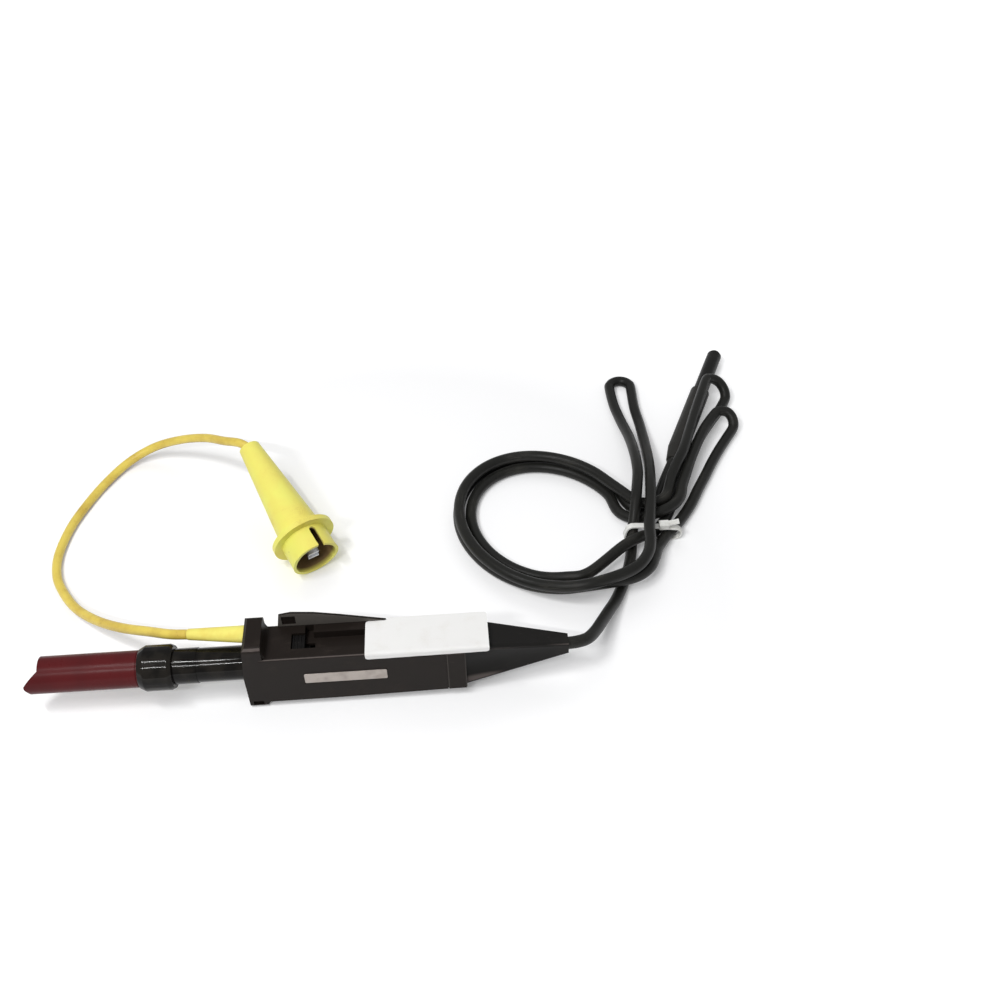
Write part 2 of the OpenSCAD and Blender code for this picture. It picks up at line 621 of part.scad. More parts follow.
module cable_clamp() color("#9a9ca0") difference() {
    rod_x(x_boot - 4.5, x_boot - 0.3, clamp_r, exit_z);
    rod_x(x_boot - 5, x_boot, cable_r + seat, exit_z);
    box([x_boot - 5, x_boot], [0, clamp_r + 1], [exit_z - 0.5, exit_z + 0.5]);
}
module cable_inner() color("#1a1a1a") rod_x(x_collar - 2, x_end, cable_r, exit_z);

module rating_plate() color("#9ea3a6") translate([plate_x0 + plate_len / 2, -half_w, plate_z + plate_h / 2])
    rotate([90, 0, 0]) linear_extrude(plate_t) rounded(plate_len, plate_h, 0.8);
module sticker_label() color("#f4f4f2") {
    difference() {
        translate([label_x0 + label_len / 2, -label_t / 2, body_top]) linear_extrude(label_t)
            rounded(label_len, body_w + label_t, 2);
        // Trimmed along the foot of the fin
        box([label_x0 - eps, fin_x0 + fin_len + 0.2], [half_w - fin_t - 0.2, half_w + eps],
            [body_top - eps, body_top + label_t + eps]);
    }
    translate([label_x0 + label_len / 2, -half_w, body_top - label_flap / 2 + label_t / 2])
        rotate([90, 0, 0]) linear_extrude(label_t) rounded(label_len, label_flap + label_t, 0.5);
}

// Places +X along the line from a to b, with the origin at a
module along(a, b) {
    v = b - a;
    translate(a) rotate([0, -asin(v[2] / norm(v)), atan2(v[1], v[0])]) children();
}
sleeve_len = norm(sleeve_b - sleeve_a);
module lead_sleeve() color("#d8c63a") difference() {
    along(sleeve_a, sleeve_b) translate([-sleeve_in, 0, 0]) rotate([0, 90, 0])
        cylinder(h = sleeve_len + sleeve_in, r1 = sleeve_r, r2 = lead_d / 2 + 0.3);
    plate_y(flange_side, -half_w, half_w);
    along(sleeve_a, sleeve_b) rod_x(-4, 12 + seat, lug_pin_r + seat, 0);
}
module lead_lug() color("#c8a45a") along(sleeve_a, sleeve_b) translate([-5.5, 0, 0])
    rod_x(0, 17.5, lug_pin_r, 0);
module common_lead() color("#c9a92e")
    swept(curve(lead_route, 2), lead_d / 2, 8, sleeve_b - sleeve_a, clip_axis);

module at_clip() translate(clip_at) rotate(clip_turn) children();
module clip_rod(x0, x1, r) rod_x(x0, x1, r, 0);
module lead_inner() color("#c9a92e") at_clip() clip_rod(0, lead_end, lead_d / 2);
module clip_housing() color("#ece96a") at_clip() difference() {
    union() {
        rotate([0, 90, 0]) cylinder(h = clip_len, r1 = small_r, r2 = cone_r);
        clip_rod(clip_len - disc_t / 2, clip_len + disc_t / 2, disc_r);
        clip_rod(clip_len, clip_len + mouth_len, mouth_r);
    }
    clip_rod(-eps, cavity_x0 + eps, lead_d / 2 + run);
    translate([cavity_x0, 0, 0]) rotate([0, 90, 0])
        cylinder(h = clip_len - cavity_x0, r1 = cavity_r, r2 = cone_r - mouth_wall);
    clip_rod(clip_len - 0.2, clip_len + mouth_len + eps, mouth_r - mouth_wall);
    for (k = [0:slots - 1]) rotate([slot_turn - k * 360 / slots, 0, 0]) {
        box([slot_x0, clip_len + mouth_len + eps], [-slot_w / 2, slot_w / 2], [mouth_r / 2, mouth_r + 1]);
        translate([slot_x0, 0, mouth_r / 2]) cylinder(h = mouth_r / 2 + 1, r = slot_w / 2);
    }
}
// Saw of teeth along a jaw, pointing up, from x0 to x1
function saw(x0, x1, n, z, h) = [for (k = [0:n - 1]) let (p = (x1 - x0) / n)
    each [[x0 + k * p, z], [x0 + (k + 0.5) * p, z + h]]];
tooth_h = 0.9;
root_z = jaw_gap + 0.35;
heel_r = 2.7;
tooth_x0 = jaw_tip - 16;
module fixed_jaw() color("#b9bcc0") at_clip() difference() {
    union() {
        plate_y(concat([[hinge_x - 26, -1.6], [hinge_x - 8, -1.6], [hinge_x - 5, -heel_r - 0.3],
            [hinge_x + 5, -heel_r - 0.3], [tooth_x0 - 1, -jaw_gap - 1.2]],
            saw(tooth_x0, jaw_tip - 0.5, teeth, -jaw_gap - 1.2, tooth_h),
            [[jaw_tip, -jaw_gap - 1.2], [jaw_tip, -2.6], [jaw_tip - 8, -jaw_h - 0.4],
            [hinge_x - 20, -jaw_h], [hinge_x - 26, -3.6]]), -jaw_w / 2, jaw_w / 2);
        for (s = [-1, 1]) plate_y([[hinge_x - 4, -jaw_h], [hinge_x + 4, -jaw_h], [hinge_x + 2.4, 2.6],
            [hinge_x - 2.4, 2.6]], s < 0 ? -jaw_w / 2 - ear_gap - ear_t : jaw_w / 2 + ear_gap,
            s < 0 ? -jaw_w / 2 - ear_gap : jaw_w / 2 + ear_gap + ear_t);
        box([hinge_x - 3.6, hinge_x + 3.6], [-jaw_w / 2 - ear_gap - ear_t, jaw_w / 2 + ear_gap + ear_t],
            [-jaw_h, -jaw_h + 1.2]);
        // Crimp barrel round the lead's end
        clip_rod(crimp_x0, crimp_x1, lead_d / 2 + crimp_t);
    }
    clip_rod(crimp_x0 - 1, lead_end + 1, lead_d / 2 + seat);
    translate([hinge_x, jaw_w, 0]) rotate([90, 0, 0]) cylinder(h = 2 * jaw_w, r = jaw_pin_r + 0.02);
}
module moving_jaw() color("#c4c7cb") at_clip() difference() {
    plate_y(concat([[hinge_x - 18, 4.6], [hinge_x - 18, 6], [hinge_x - 6, 5.2], [hinge_x + 8, jaw_h + 0.6],
        [jaw_tip - 8, jaw_h], [jaw_tip, 2.4], [jaw_tip, 1.3 + jaw_gap]],
        [for (k = [teeth - 1:-1:0]) let (p = (jaw_tip - 0.5 - tooth_x0) / teeth)
            each [[tooth_x0 + (k + 1) * p, root_z], [tooth_x0 + (k + 0.5) * p, root_z + tooth_h]]],
        [[tooth_x0 - 1, jaw_gap + 0.6], [hinge_x + 4, jaw_gap], [hinge_x + 1.8, -1.9], [hinge_x - 1.8, -1.9],
        [hinge_x - 2.6, 1.6]]), -jaw_w / 2, jaw_w / 2);
    translate([hinge_x, jaw_w, 0]) rotate([90, 0, 0]) cylinder(h = 2 * jaw_w, r = jaw_pin_r + run);
}
module jaw_pin() color("#8f9297") at_clip() translate([hinge_x, jaw_w / 2 + ear_gap + ear_t + 3.4, 0])
    rotate([90, 0, 0]) cylinder(h = jaw_w + 2 * ear_gap + 2 * ear_t + 3.8, r = jaw_pin_r);
module jaw_spring() color("#7d8085") at_clip() translate([hinge_x, jaw_w / 2 + ear_gap + ear_t + 0.5, 0])
    rotate([0, 0, 90]) swept(coil(0, 2.4, jaw_pin_r + 0.5, 3, 8), 0.35, 6);

module cable_lead() color("#1a1a1a")
    swept(curve(cable_in, 2), cable_r, 8, [1, 0, 0], unit(loop_fine[1] - loop_fine[0]));
module cable_loops() color("#1a1a1a")
    swept(loop_points, cable_r, 6, unit(loop_fine[1] - loop_fine[0]), [cos(plug_turn), sin(plug_turn), 0]);
// Low strands at the tie: x, z and half width where the strap crosses them
tie_y = 92;
tie_w = 3.6;
tie_t = 1;
tie_strands = [[185, 4.7, 3.7], [185.7, 7.9, 3.5], [194.5, 7, 3.9], [197.3, 5, 5.7], [206.9, 4.4, 6.3]];
tie_gap = 0.15;
// Head of the tie: its middle in x, its foot in z and its size; then the tail's length and rise
tie_head = [203.4, 9.2];
tie_head_size = [5.6, 4.8, 3.4];
tie_tail = 9;
tie_tail_rise = 12;
module tie_outline(r) hull() for (p = tie_strands, s = [-1, 1])
    translate([p[0] + s * (p[2] - cable_r), p[1]]) circle(cable_r + r, $fn = 24);
module cable_tie() color("#eeeeea") translate([0, tie_y + tie_w / 2, 0]) rotate([90, 0, 0]) {
    linear_extrude(tie_w) difference() {
        tie_outline(tie_t + tie_gap);
        tie_outline(tie_gap);
    }
    translate([tie_head[0] - tie_head_size[0] / 2, tie_head[1], (tie_w - tie_head_size[1]) / 2])
        cube([tie_head_size[0], tie_head_size[2], tie_head_size[1]]);
    translate([tie_head[0], tie_head[1] + tie_head_size[2] / 2, 0]) rotate([0, 0, tie_tail_rise])
        cube([tie_tail, tie_t, tie_w]);
}

module at_plug() translate(plug_at) rotate([0, 0, plug_turn]) children();
module plug_grip() color("#2c2c2e") at_plug() difference() {
    union() {
        rotate([0, 90, 0]) cylinder(h = 12, r1 = 4.3, r2 = grip_r);
        clip_rod(12, grip_len, grip_r);
    }
    clip_rod(spring_end, grip_len + eps, sheath_r + run);
    clip_rod(spring_end - pin_in, spring_end + eps, pin_r + seat);
}
module plug_sheath() color("#38383b") at_plug() difference() {
    union() {
        clip_rod(grip_len - sheath_in, grip_len + sheath_out - sheath_r / 2, sheath_r);
        translate([grip_len + sheath_out - sheath_r / 2, 0, 0]) rotate([0, 90, 0])
            cylinder(h = sheath_r / 2, r1 = sheath_r, r2 = sheath_r - 1.4);
    }
    clip_rod(grip_len - sheath_in - eps, grip_len + sheath_out - 2.4, sheath_bore);
    clip_rod(grip_len, grip_len + sheath_out + eps, pin_r + 0.8);
    relief(grip_len, sheath_r);
}
module plug_pin() color("#cdb46a") at_plug() {
    clip_rod(spring_end - pin_in, grip_len + sheath_out - 4, pin_r);
    translate([grip_len + sheath_out - 4, 0, 0]) rotate([0, 90, 0]) cylinder(h = 1.5, r1 = pin_r, r2 = 1.2);
}
module plug_spring() color("#b8b8bc") at_plug()
    swept(coil(spring_end + 0.5, grip_len - sheath_in - 0.5, sheath_r - 0.75, 9, 8), 0.4, 6);

casing_front();
casing_back();
guard_flange();
barrel();
neck();
nose_tube();
nose_bush();
ring_nut();
thumb_slide();
drive_link();
contact_rod();
contact_tip();
return_spring();
divider_board();
divider_resistors();
trim_capacitor();
case_screws();
end_collar();
strain_boot();
cable_clamp();
cable_inner();
rating_plate();
sticker_label();
lead_sleeve();
lead_lug();
common_lead();
lead_inner();
clip_housing();
fixed_jaw();
moving_jaw();
jaw_pin();
jaw_spring();
cable_lead();
cable_loops();
cable_tie();
plug_grip();
plug_sheath();
plug_pin();
plug_spring();
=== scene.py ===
import math

import bmesh
import bpy
import numpy as np
from mathutils import Matrix, Vector


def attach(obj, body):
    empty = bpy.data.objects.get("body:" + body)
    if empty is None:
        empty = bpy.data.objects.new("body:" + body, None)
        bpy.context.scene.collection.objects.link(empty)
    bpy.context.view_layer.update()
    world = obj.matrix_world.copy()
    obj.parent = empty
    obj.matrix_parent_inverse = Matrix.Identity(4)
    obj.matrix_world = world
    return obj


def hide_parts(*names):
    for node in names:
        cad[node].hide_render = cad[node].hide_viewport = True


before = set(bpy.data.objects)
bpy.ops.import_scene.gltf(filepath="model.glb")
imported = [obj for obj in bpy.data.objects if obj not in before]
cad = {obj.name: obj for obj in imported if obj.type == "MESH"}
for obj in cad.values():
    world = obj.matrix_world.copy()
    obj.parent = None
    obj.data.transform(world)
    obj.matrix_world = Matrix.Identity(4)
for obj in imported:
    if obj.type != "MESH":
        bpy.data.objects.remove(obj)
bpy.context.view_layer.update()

# Camera. It looks down at 44 degrees over the front edge of the table, on a lens a little longer
# than a normal one, and takes in the probe, its yellow clip and its tied cable.
ahead = Vector((0.0342, 0.7185, -0.6947)).normalized()
sideways = Vector((0.9977, -0.0657, -0.0188))
sideways = (sideways - sideways.dot(ahead) * ahead).normalized()
camera = bpy.data.objects.new("camera", bpy.data.cameras.new("camera"))
camera.matrix_world = Matrix((sideways, sideways.cross(ahead), -ahead)).transposed().to_4x4()
camera.location = (0.0857, -0.3913, 0.5061)
camera.data.sensor_width = 36
camera.data.lens = 43.2
bpy.context.scene.collection.objects.link(camera)
bpy.context.scene.camera = camera
bpy.context.scene.view_settings.view_transform = "Standard"


# Table top. A wide sheet of smooth white laminate that everything rests on. It is lit by a white
# room, a soft panel high up in front, a weak one behind and two thin tubes high up to the left.
class Tone:
    """One socket of a material's nodes. Adding, multiplying and so on add the Math nodes for it."""

    def __init__(self, tree, socket=None):
        self.tree, self.socket = tree, socket

    def make(self, kind, sockets=None, out=0, **settings):
        """A node of any kind: its settings first, then the value or the link of each socket."""
        made = self.tree.nodes.new("ShaderNode" + kind)
        for name, value in settings.items():
            setattr(made, name, value)
        for name, value in (sockets or {}).items():
            if isinstance(value, Tone):
                self.tree.links.new(value.socket, made.inputs[name])
            else:
                made.inputs[name].default_value = value
        return Tone(self.tree, made.outputs[out] if len(made.outputs) else None)

    def sum(self, operation, *values):
        return self.make("Math", dict(enumerate(values)), operation=operation)

    def __add__(self, other):
        return self.sum("ADD", self, other)

    def __sub__(self, other):
        return self.sum("SUBTRACT", self, other)

    def __rsub__(self, other):
        return self.sum("SUBTRACT", other, self)

    def __mul__(self, other):
        return self.sum("MULTIPLY", self, other)

    __radd__, __rmul__ = __add__, __mul__


def start_finish(name):
    """A new material, and a tone on its empty node tree."""
    finish = bpy.data.materials.new(name)
    finish.use_nodes = True
    finish.node_tree.nodes.clear()
    return finish, Tone(finish.node_tree)


def paint(red, green, blue):
    """A colour as it is seen, 0 to 255, as the linear colour that a shader takes."""
    seen = [c / 255 for c in (red, green, blue)]
    return tuple(c / 12.92 if c < 0.04045 else ((c + 0.055) / 1.055) ** 2.4 for c in seen) + (1.0,)


def kinds_of_ray(tone):
    """Three masks: a surface looked at, one seen in something glossy, one seen through something."""
    return [tone.make("LightPath", out="Is " + kind + " Ray")
            for kind in ("Camera", "Glossy", "Transmission")]


laminate, tone = start_finish("table_laminate")
lit = tone.make("BsdfDiffuse", {"Color": (0.88, 0.88, 0.885, 1)})
looked_at, mirrored, let_through = kinds_of_ray(tone)
# The table fades into the white of the room: the glow grows from the middle of the object outwards
middle_of_object = (0.03, 0.06, 0)
here = tone.make("TexCoord", out="Object")
far = tone.make("VectorMath", {0: here, 1: middle_of_object}, out="Value", operation="DISTANCE")
haze = tone.make("MapRange", {"Value": far, "From Min": 0.2, "From Max": 0.6,
                              "To Min": 0.15, "To Max": 0.9})
glow = tone.make("Emission", {"Color": (1, 1, 1, 1),
                              "Strength": (looked_at + mirrored + let_through) * haze})
tone.make("OutputMaterial", {"Surface": tone.make("AddShader", {0: lit, 1: glow})})
half_side, table_level = 4, -0.0001
corners = ((-1, -1), (1, -1), (1, 1), (-1, 1))
table = bpy.data.meshes.new("table_top")
table.from_pydata([(x * half_side, y * half_side, table_level) for x, y in corners], [], [(0, 1, 2, 3)])
table.materials.append(laminate)
table_top = bpy.data.objects.new("table_top", table)
bpy.context.scene.collection.objects.link(table_top)

room = bpy.data.worlds.new("white_room")
bpy.context.scene.world = room
room.use_nodes = True
room.node_tree.nodes.clear()
tone = Tone(room.node_tree)
looked_at, mirrored, let_through = kinds_of_ray(tone)
lit_by_room = 0.32  # how bright the room is as a light; looked at, it is white
strength = lit_by_room + (looked_at + let_through + mirrored * 0.2) * (1 - lit_by_room)
walls = tone.make("Background", {"Color": (0.98, 0.985, 1, 1), "Strength": strength})
tone.make("OutputWorld", {"Surface": walls})

# Each lamp's place, what it points at, its size and its watts; only the tubes show in glossy skins
for name, place, aim, size, watts in (
        ("soft_panel", (-0.20, -0.42, 1.15), (0.04, 0.03, 0), (0.6, 0.45), 5.4),
        ("back_panel", (0.15, 0.80, 1.0), (0.05, 0.05, 0), (1.0, 0.6), 2.2),
        ("tube_lamp_high", (-0.285, -0.165, 0.90), (-0.06, 0, 0.03), (0.24, 0.009), 2.1),
        ("tube_lamp_low", (-0.335, -0.695, 0.90), (-0.06, 0, 0.03), (0.26, 0.009), 3.2)):
    lamp = bpy.data.objects.new(name, bpy.data.lights.new(name, "AREA"))
    lamp.data.shape = "RECTANGLE"
    lamp.data.size, lamp.data.size_y = size
    lamp.data.energy = watts
    lamp.visible_glossy = name.startswith("tube")
    beam = Vector(aim) - Vector(place)
    lamp.matrix_world = Matrix.Translation(place) @ beam.to_track_quat("-Z", "Y").to_matrix().to_4x4()
    bpy.context.scene.collection.objects.link(lamp)


# Common lead. A limp stranded wire in an ochre vinyl jacket, 5.2 mm thick, that leaves the yellow
# sleeve, drops to the table and runs in one wide bow up to the clip. Its underside is painted
# brown as shade, mixed with streaks of grime.
def smooth_line(points, steps):
    """The route through the points, with so many steps between two of them."""
    p = np.array(points, float)
    p = np.vstack([2 * p[0] - p[1], p, 2 * p[-1] - p[-2]])
    t = np.arange(steps)[:, None] / steps
    spans = []
    for a, b, c, d in zip(p, p[1:], p[2:], p[3:]):
        bend, twist = 2 * a - 5 * b + 4 * c - d, 3 * b - a - 3 * c + d
        spans.append((2 * b + (c - a) * t + bend * t ** 2 + twist * t ** 3) / 2)
    return np.vstack(spans + [p[-2:-1]])


def jacket(name, line, radius, sides, first, last):
    """A round tube along the line, closed at its ends. Its map runs along it in centimetres and
    once around it, and its attribute "under" is 1 where the jacket faces the table, for painted shade."""
    step = np.gradient(line, axis=0)
    step[0], step[-1] = first, last
    step /= np.linalg.norm(step, axis=1)[:, None]
    crown = np.zeros_like(line)
    crown[0] = (0, 0, 1) - step[0] * step[0][2]
    for i in range(1, len(line)):
        crown[i] = crown[i - 1] - step[i] * (step[i] @ crown[i - 1])
        crown[i] /= np.linalg.norm(crown[i])
    crown[0] /= np.linalg.norm(crown[0])
    flank = np.cross(step, crown)
    turn = np.arange(sides) * 2 * math.pi / sides
    out = crown[:, None] * np.cos(turn)[None, :, None] + flank[:, None] * np.sin(turn)[None, :, None]
    points = (line[:, None] + radius * out).reshape(-1, 3)
    n, k = len(line), np.arange(sides)
    rows = (np.arange(n - 1) * sides)[:, None]
    j = (k + 1) % sides
    faces = np.stack([rows + k, rows + sides + k, rows + sides + j, rows + j], -1)
    faces = faces.reshape(-1, 4)[:, ::-1]
    mesh = bpy.data.meshes.new(name)
    mesh.from_pydata(points.tolist(), [], faces.tolist()
                     + [list(range(sides)), list(range((n - 1) * sides, n * sides))[::-1]])
    under = mesh.attributes.new("under", "FLOAT", "POINT")
    under.data.foreach_set("value", np.clip(-out[:, :, 2], 0, 1).reshape(-1).astype(np.float32))
    along = np.concatenate([[0], np.cumsum(np.linalg.norm(np.diff(line, axis=0), axis=1))]) * 100
    u = np.repeat(along, sides).reshape(n, sides)
    here, there = (np.broadcast_to(side / sides, (n - 1, sides)) for side in (k, k + 1))
    quad = np.stack([np.stack(corner, -1) for corner in ((u[:-1], here), (u[1:], here),
                                                         (u[1:], there), (u[:-1], there))], 2)
    wrap = np.zeros((len(mesh.loops), 2), np.float32)
    wrap[:quad.size // 2] = quad[:, :, ::-1].reshape(-1, 2)
    mesh.uv_layers.new(name="along").data.foreach_set("uv", wrap.reshape(-1))
    for face in mesh.polygons:
        face.use_smooth = len(face.vertices) == 4
    made = bpy.data.objects.new(name, mesh)
    bpy.context.scene.collection.objects.link(made)
    return made


def mixed(tone, share, first, second):
    """One colour turning into another as share goes from 0 to 1."""
    return tone.make("Mix", {0: share, 6: first, 7: second}, out=2, data_type="RGBA")


def stepped(tone, value, low, high):
    """0 below low and 1 above high, smooth between them."""
    return tone.make("MapRange", {"Value": value, "From Min": low, "From Max": high},
                     interpolation_type="SMOOTHSTEP")


def noise(tone, place, scale, detail, rough=0.5):
    """Blotches of the place, from 0 to 1."""
    return tone.make("TexNoise", {"Vector": place, "Scale": scale, "Detail": detail,
                                  "Roughness": rough})


def raised(tone, height, depth, strength):
    """The normal of a surface whose skin rises by the height, at most the depth in metres."""
    return tone.make("Bump", {"Height": height, "Distance": depth, "Strength": strength})


def coat(tone, colour, roughness, normal=None, shine=0.5, metallic=0.0):
    """Ends a material with its colour, its roughness, its normal if any, its shine and whether it is
    bare metal."""
    inputs = {"Base Color": colour, "Roughness": roughness, "Specular IOR Level": shine,
              "Metallic": metallic}
    if normal:
        inputs["Normal"] = normal
    tone.make("OutputMaterial", {"Surface": tone.make("BsdfPrincipled", inputs)})


ochre, tone = start_finish("ochre_vinyl")
place = tone.make("TexCoord", out="Object")
along = tone.make("UVMap", uv_map="along")
stretched = tone.make("Mapping", {"Vector": along, "Scale": (0.5, 5.0, 1.0)})
cloud = noise(tone, place, 70.0, 5.0, 0.6)
fine = noise(tone, place, 900.0, 3.0)
streak = noise(tone, stretched, 2.2, 3.0)
under = tone.make("Attribute", {}, out="Fac", attribute_name="under")
vinyl = mixed(tone, stepped(tone, cloud, 0.35, 0.7), paint(226, 203, 92), paint(205, 176, 74))
# Painted shade: the underside that faces the table is darkened towards brown, mixed with grime streaks.
grime = stepped(tone, under * 0.75 + streak * 0.5 + fine * 0.25, 0.62, 1.0)
spots = stepped(tone, fine * 0.5 + cloud * 0.6, 0.68, 0.76) * 0.55
dirty = mixed(tone, spots, mixed(tone, grime * 0.85, vinyl, paint(112, 74, 44)), paint(126, 92, 50))
bump = raised(tone, fine * 0.5 + streak, 0.0002, 0.35)
coat(tone, dirty, 0.42 + grime * 0.25, bump)

lead_route = [(-56, 11.5, 34.5), (-66, 14, 32.6), (-78, 20.5, 28), (-97, 31.5, 20), (-114.5, 45, 12),
              (-129.5, 60, 6), (-140.5, 76, 3.2), (-146.5, 89.5, 2.7), (-148.5, 105.5, 2.7),
              (-146, 126, 2.7), (-140.5, 144, 2.7), (-132, 163.5, 2.9), (-119.9, 180.9, 4.4),
              (-103.3, 187.2, 10.5), (-84.6, 182.4, 19.5), (-66.6, 172.9, 28), (-52.8, 161.5, 34.5),
              (-42.5, 154.3, 38.4), (-36.11, 150.22, 37.3)]
clip_heading, clip_dip = math.radians(-61), math.radians(16)
hidden_in_clip = 0.019
into_clip = hidden_in_clip * np.array((math.cos(clip_dip) * math.cos(clip_heading),
                                       math.cos(clip_dip) * math.sin(clip_heading),
                                       -math.sin(clip_dip)))
lead_width, steps_between = 0.0052, 8
lead_line = smooth_line(np.array(lead_route) / 1000, steps_between)
last_steps = np.arange(1, steps_between + 1)[:, None] / steps_between
lead_line = np.vstack([lead_line, lead_line[-1] + last_steps * into_clip])
lead = jacket("common_lead_jacket", lead_line, lead_width / 2, 20, (-28.3, 5, -3.5), into_clip)
lead.data.materials.append(ochre)
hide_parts("common_lead", "lead_inner")
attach(lead, "probe")

# Signal cable. A black coaxial cable with a smooth rubber jacket, 6.5 mm thick and nearly two metres
# long. It comes down from the strain boot, goes under the tie and is wound in two sets of loops.
cable_width, layer_rise = 6.5, 7.2
crossing_starts, crossing_spans = -72, 42  # degrees round a loop


def big_loop(middle, long, short, tilt, layer, start, end, steps, shift):
    """One wide loop: an ellipse on its layer, which climbs a layer and moves in at the crossing."""
    points = []
    for k in range(steps + 1):
        f = start + (end - start) * k / steps
        rise = min(max((crossing_starts - f) / crossing_spans, 0), 1)
        h = 1 - rise * rise * (3 - 2 * rise)
        x, y = long * math.cos(math.radians(f - tilt)), short * math.sin(math.radians(f - tilt))
        c, s = math.cos(math.radians(tilt)), math.sin(math.radians(tilt))
        points.append((middle[0] + x * c - y * s, middle[1] + x * s + y * c - shift * h, layer + h))
    return points


def small_turn(middle, radius, start, end, layers):
    """A tight turn about a point, one layer value for each step."""
    turns = [math.radians(start + (end - start) * k / (len(layers) - 1)) for k in range(len(layers))]
    return [(middle[0] + radius * math.cos(t), middle[1] + radius * math.sin(t), h)
            for t, h in zip(turns, layers)]


cable_in = [(137.5, 0, 22.5), (143, 1, 22), (148.5, 4.5, 20), (153.5, 12, 16.5), (158.5, 22, 12.2),
            (163.5, 32, 8.2), (168.5, 41.5, 5), (173, 51, 3.6), (177, 60.5, 3.4), (180.5, 70, 3.4)]
cable_loops = (
    [(183, 80, 0), (185, 91, 0.2), (187.5, 101, 1.3), (189.5, 110, 1.95), (191.5, 120, 2.1),
     (193.5, 132, 2.1), (194.5, 150, 1.7), (194.5, 172, 0.9), (192.5, 194, 0.2), (190.5, 212, 0)]
    + small_turn((197, 229), 7, 182, -4, [0] * 7)
    + [(203.4, 208, 0), (204.3, 189, 0.1), (203.7, 165, 0.75), (202, 141, 1.6), (199.5, 121, 2.1),
       (197.3, 106, 2.1), (195, 94, 2.05), (193.3, 84, 1.98), (192.3, 74, 1.98), (189.5, 64.5, 1.98),
       (183, 55.5, 2), (172.5, 49.5, 2)]
    + big_loop((137, 103.7), 58, 48.2, 124, 1, -75, -328, 15, 5.5)
    + small_turn((198, 124), 13, 206, 340, [1, 1, 1, 1, 1, 1.05])
    + [(214.5, 131, 1.3), (219.5, 141, 1.6), (224.5, 150, 1.8), (232, 169, 1.8), (239, 187, 1.8),
       (246, 204, 1.8)]
    + small_turn((257, 212.5), 7, 148, -32, [1.75, 1.65, 1.45, 1.15, 0.75, 0.4, 0.1])
    + [(257, 199, 0), (248.5, 187, 0), (239, 172, 0), (230.5, 155, 0), (222.5, 138, 0),
       (214.5, 120, 0), (206, 103, 0), (197.5, 92.5, 0.2), (188, 84, 0.95), (177.5, 77, 1.05)]
    + big_loop((137.5, 108.8), 49.6, 42.6, 126, 0, -70, -332, 15, 4.5)
    + small_turn((198, 124), 21, 206, 335, [0, 0.02, 0.25, 0.78, 1.02, 1.05, 1.05])
    + [(220, 125, 1.05), (224.5, 136, 1.05), (229, 147, 1.05), (236, 162, 1.05), (243.5, 176, 1.05)]
    + small_turn((257, 184), 6.5, 138, -32, [1.05, 1.05, 1.05, 0.95, 0.7, 0.4, 0.1])
    + [(257, 172.5, 0), (249.5, 161, 0), (243, 150, 0), (237, 139, 0), (230.5, 127.5, 0),
       (223.5, 114.5, 0), (214.5, 101.5, 0), (205.5, 90.5, 0.15), (198.5, 79.5, 0.35),
       (194.5, 69, 0.7), (190.5, 60.5, 0.95), (183.5, 54.5, 1), (173.5, 51.5, 1)]
    + big_loop((137.5, 108.8), 57, 50, 126, 0, -76, -328, 15, 6)
    + small_turn((195, 124), 10, 206, 340, [0] * 6)
    + [(209, 131, 0), (213.5, 140.5, 0.15), (219, 151, 0.4)])
cable_route = cable_in + [(x, y, 3.4 + h * layer_rise) for x, y, h in cable_loops]
plug_heading = math.radians(66)
cable_line = smooth_line(np.array(cable_route) / 1000, 7)
cable = jacket("signal_cable_jacket", cable_line, cable_width / 2000, 20, (1, 0, 0),
               (math.cos(plug_heading), math.sin(plug_heading), 0))

rubber, tone = start_finish("cable_rubber")
place = tone.make("TexCoord", out="Object")
along = tone.make("UVMap", uv_map="along")
drawn = tone.make("Mapping", {"Vector": along, "Scale": (0.35, 9.0, 1.0)})
cloud = noise(tone, place, 45.0, 4.0)
fine = noise(tone, place, 2200.0, 2.0)
line_marks = noise(tone, drawn, 3.0, 4.0)
scuff = stepped(tone, line_marks * 0.7 + cloud * 0.5, 0.66, 0.82)
dust = stepped(tone, fine * 0.45 + cloud * 0.55, 0.52, 0.66)
dark = mixed(tone, scuff * 0.5 + dust * 0.25, paint(27, 27, 25), paint(64, 62, 57))
bump = raised(tone, line_marks + fine * 0.35, 0.00012, 0.4)
coat(tone, dark, 0.4 + scuff * 0.2 + dust * 0.12, bump, shine=0.25)
cable.data.materials.append(rubber)
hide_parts("cable_lead", "cable_loops")
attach(cable, "probe")


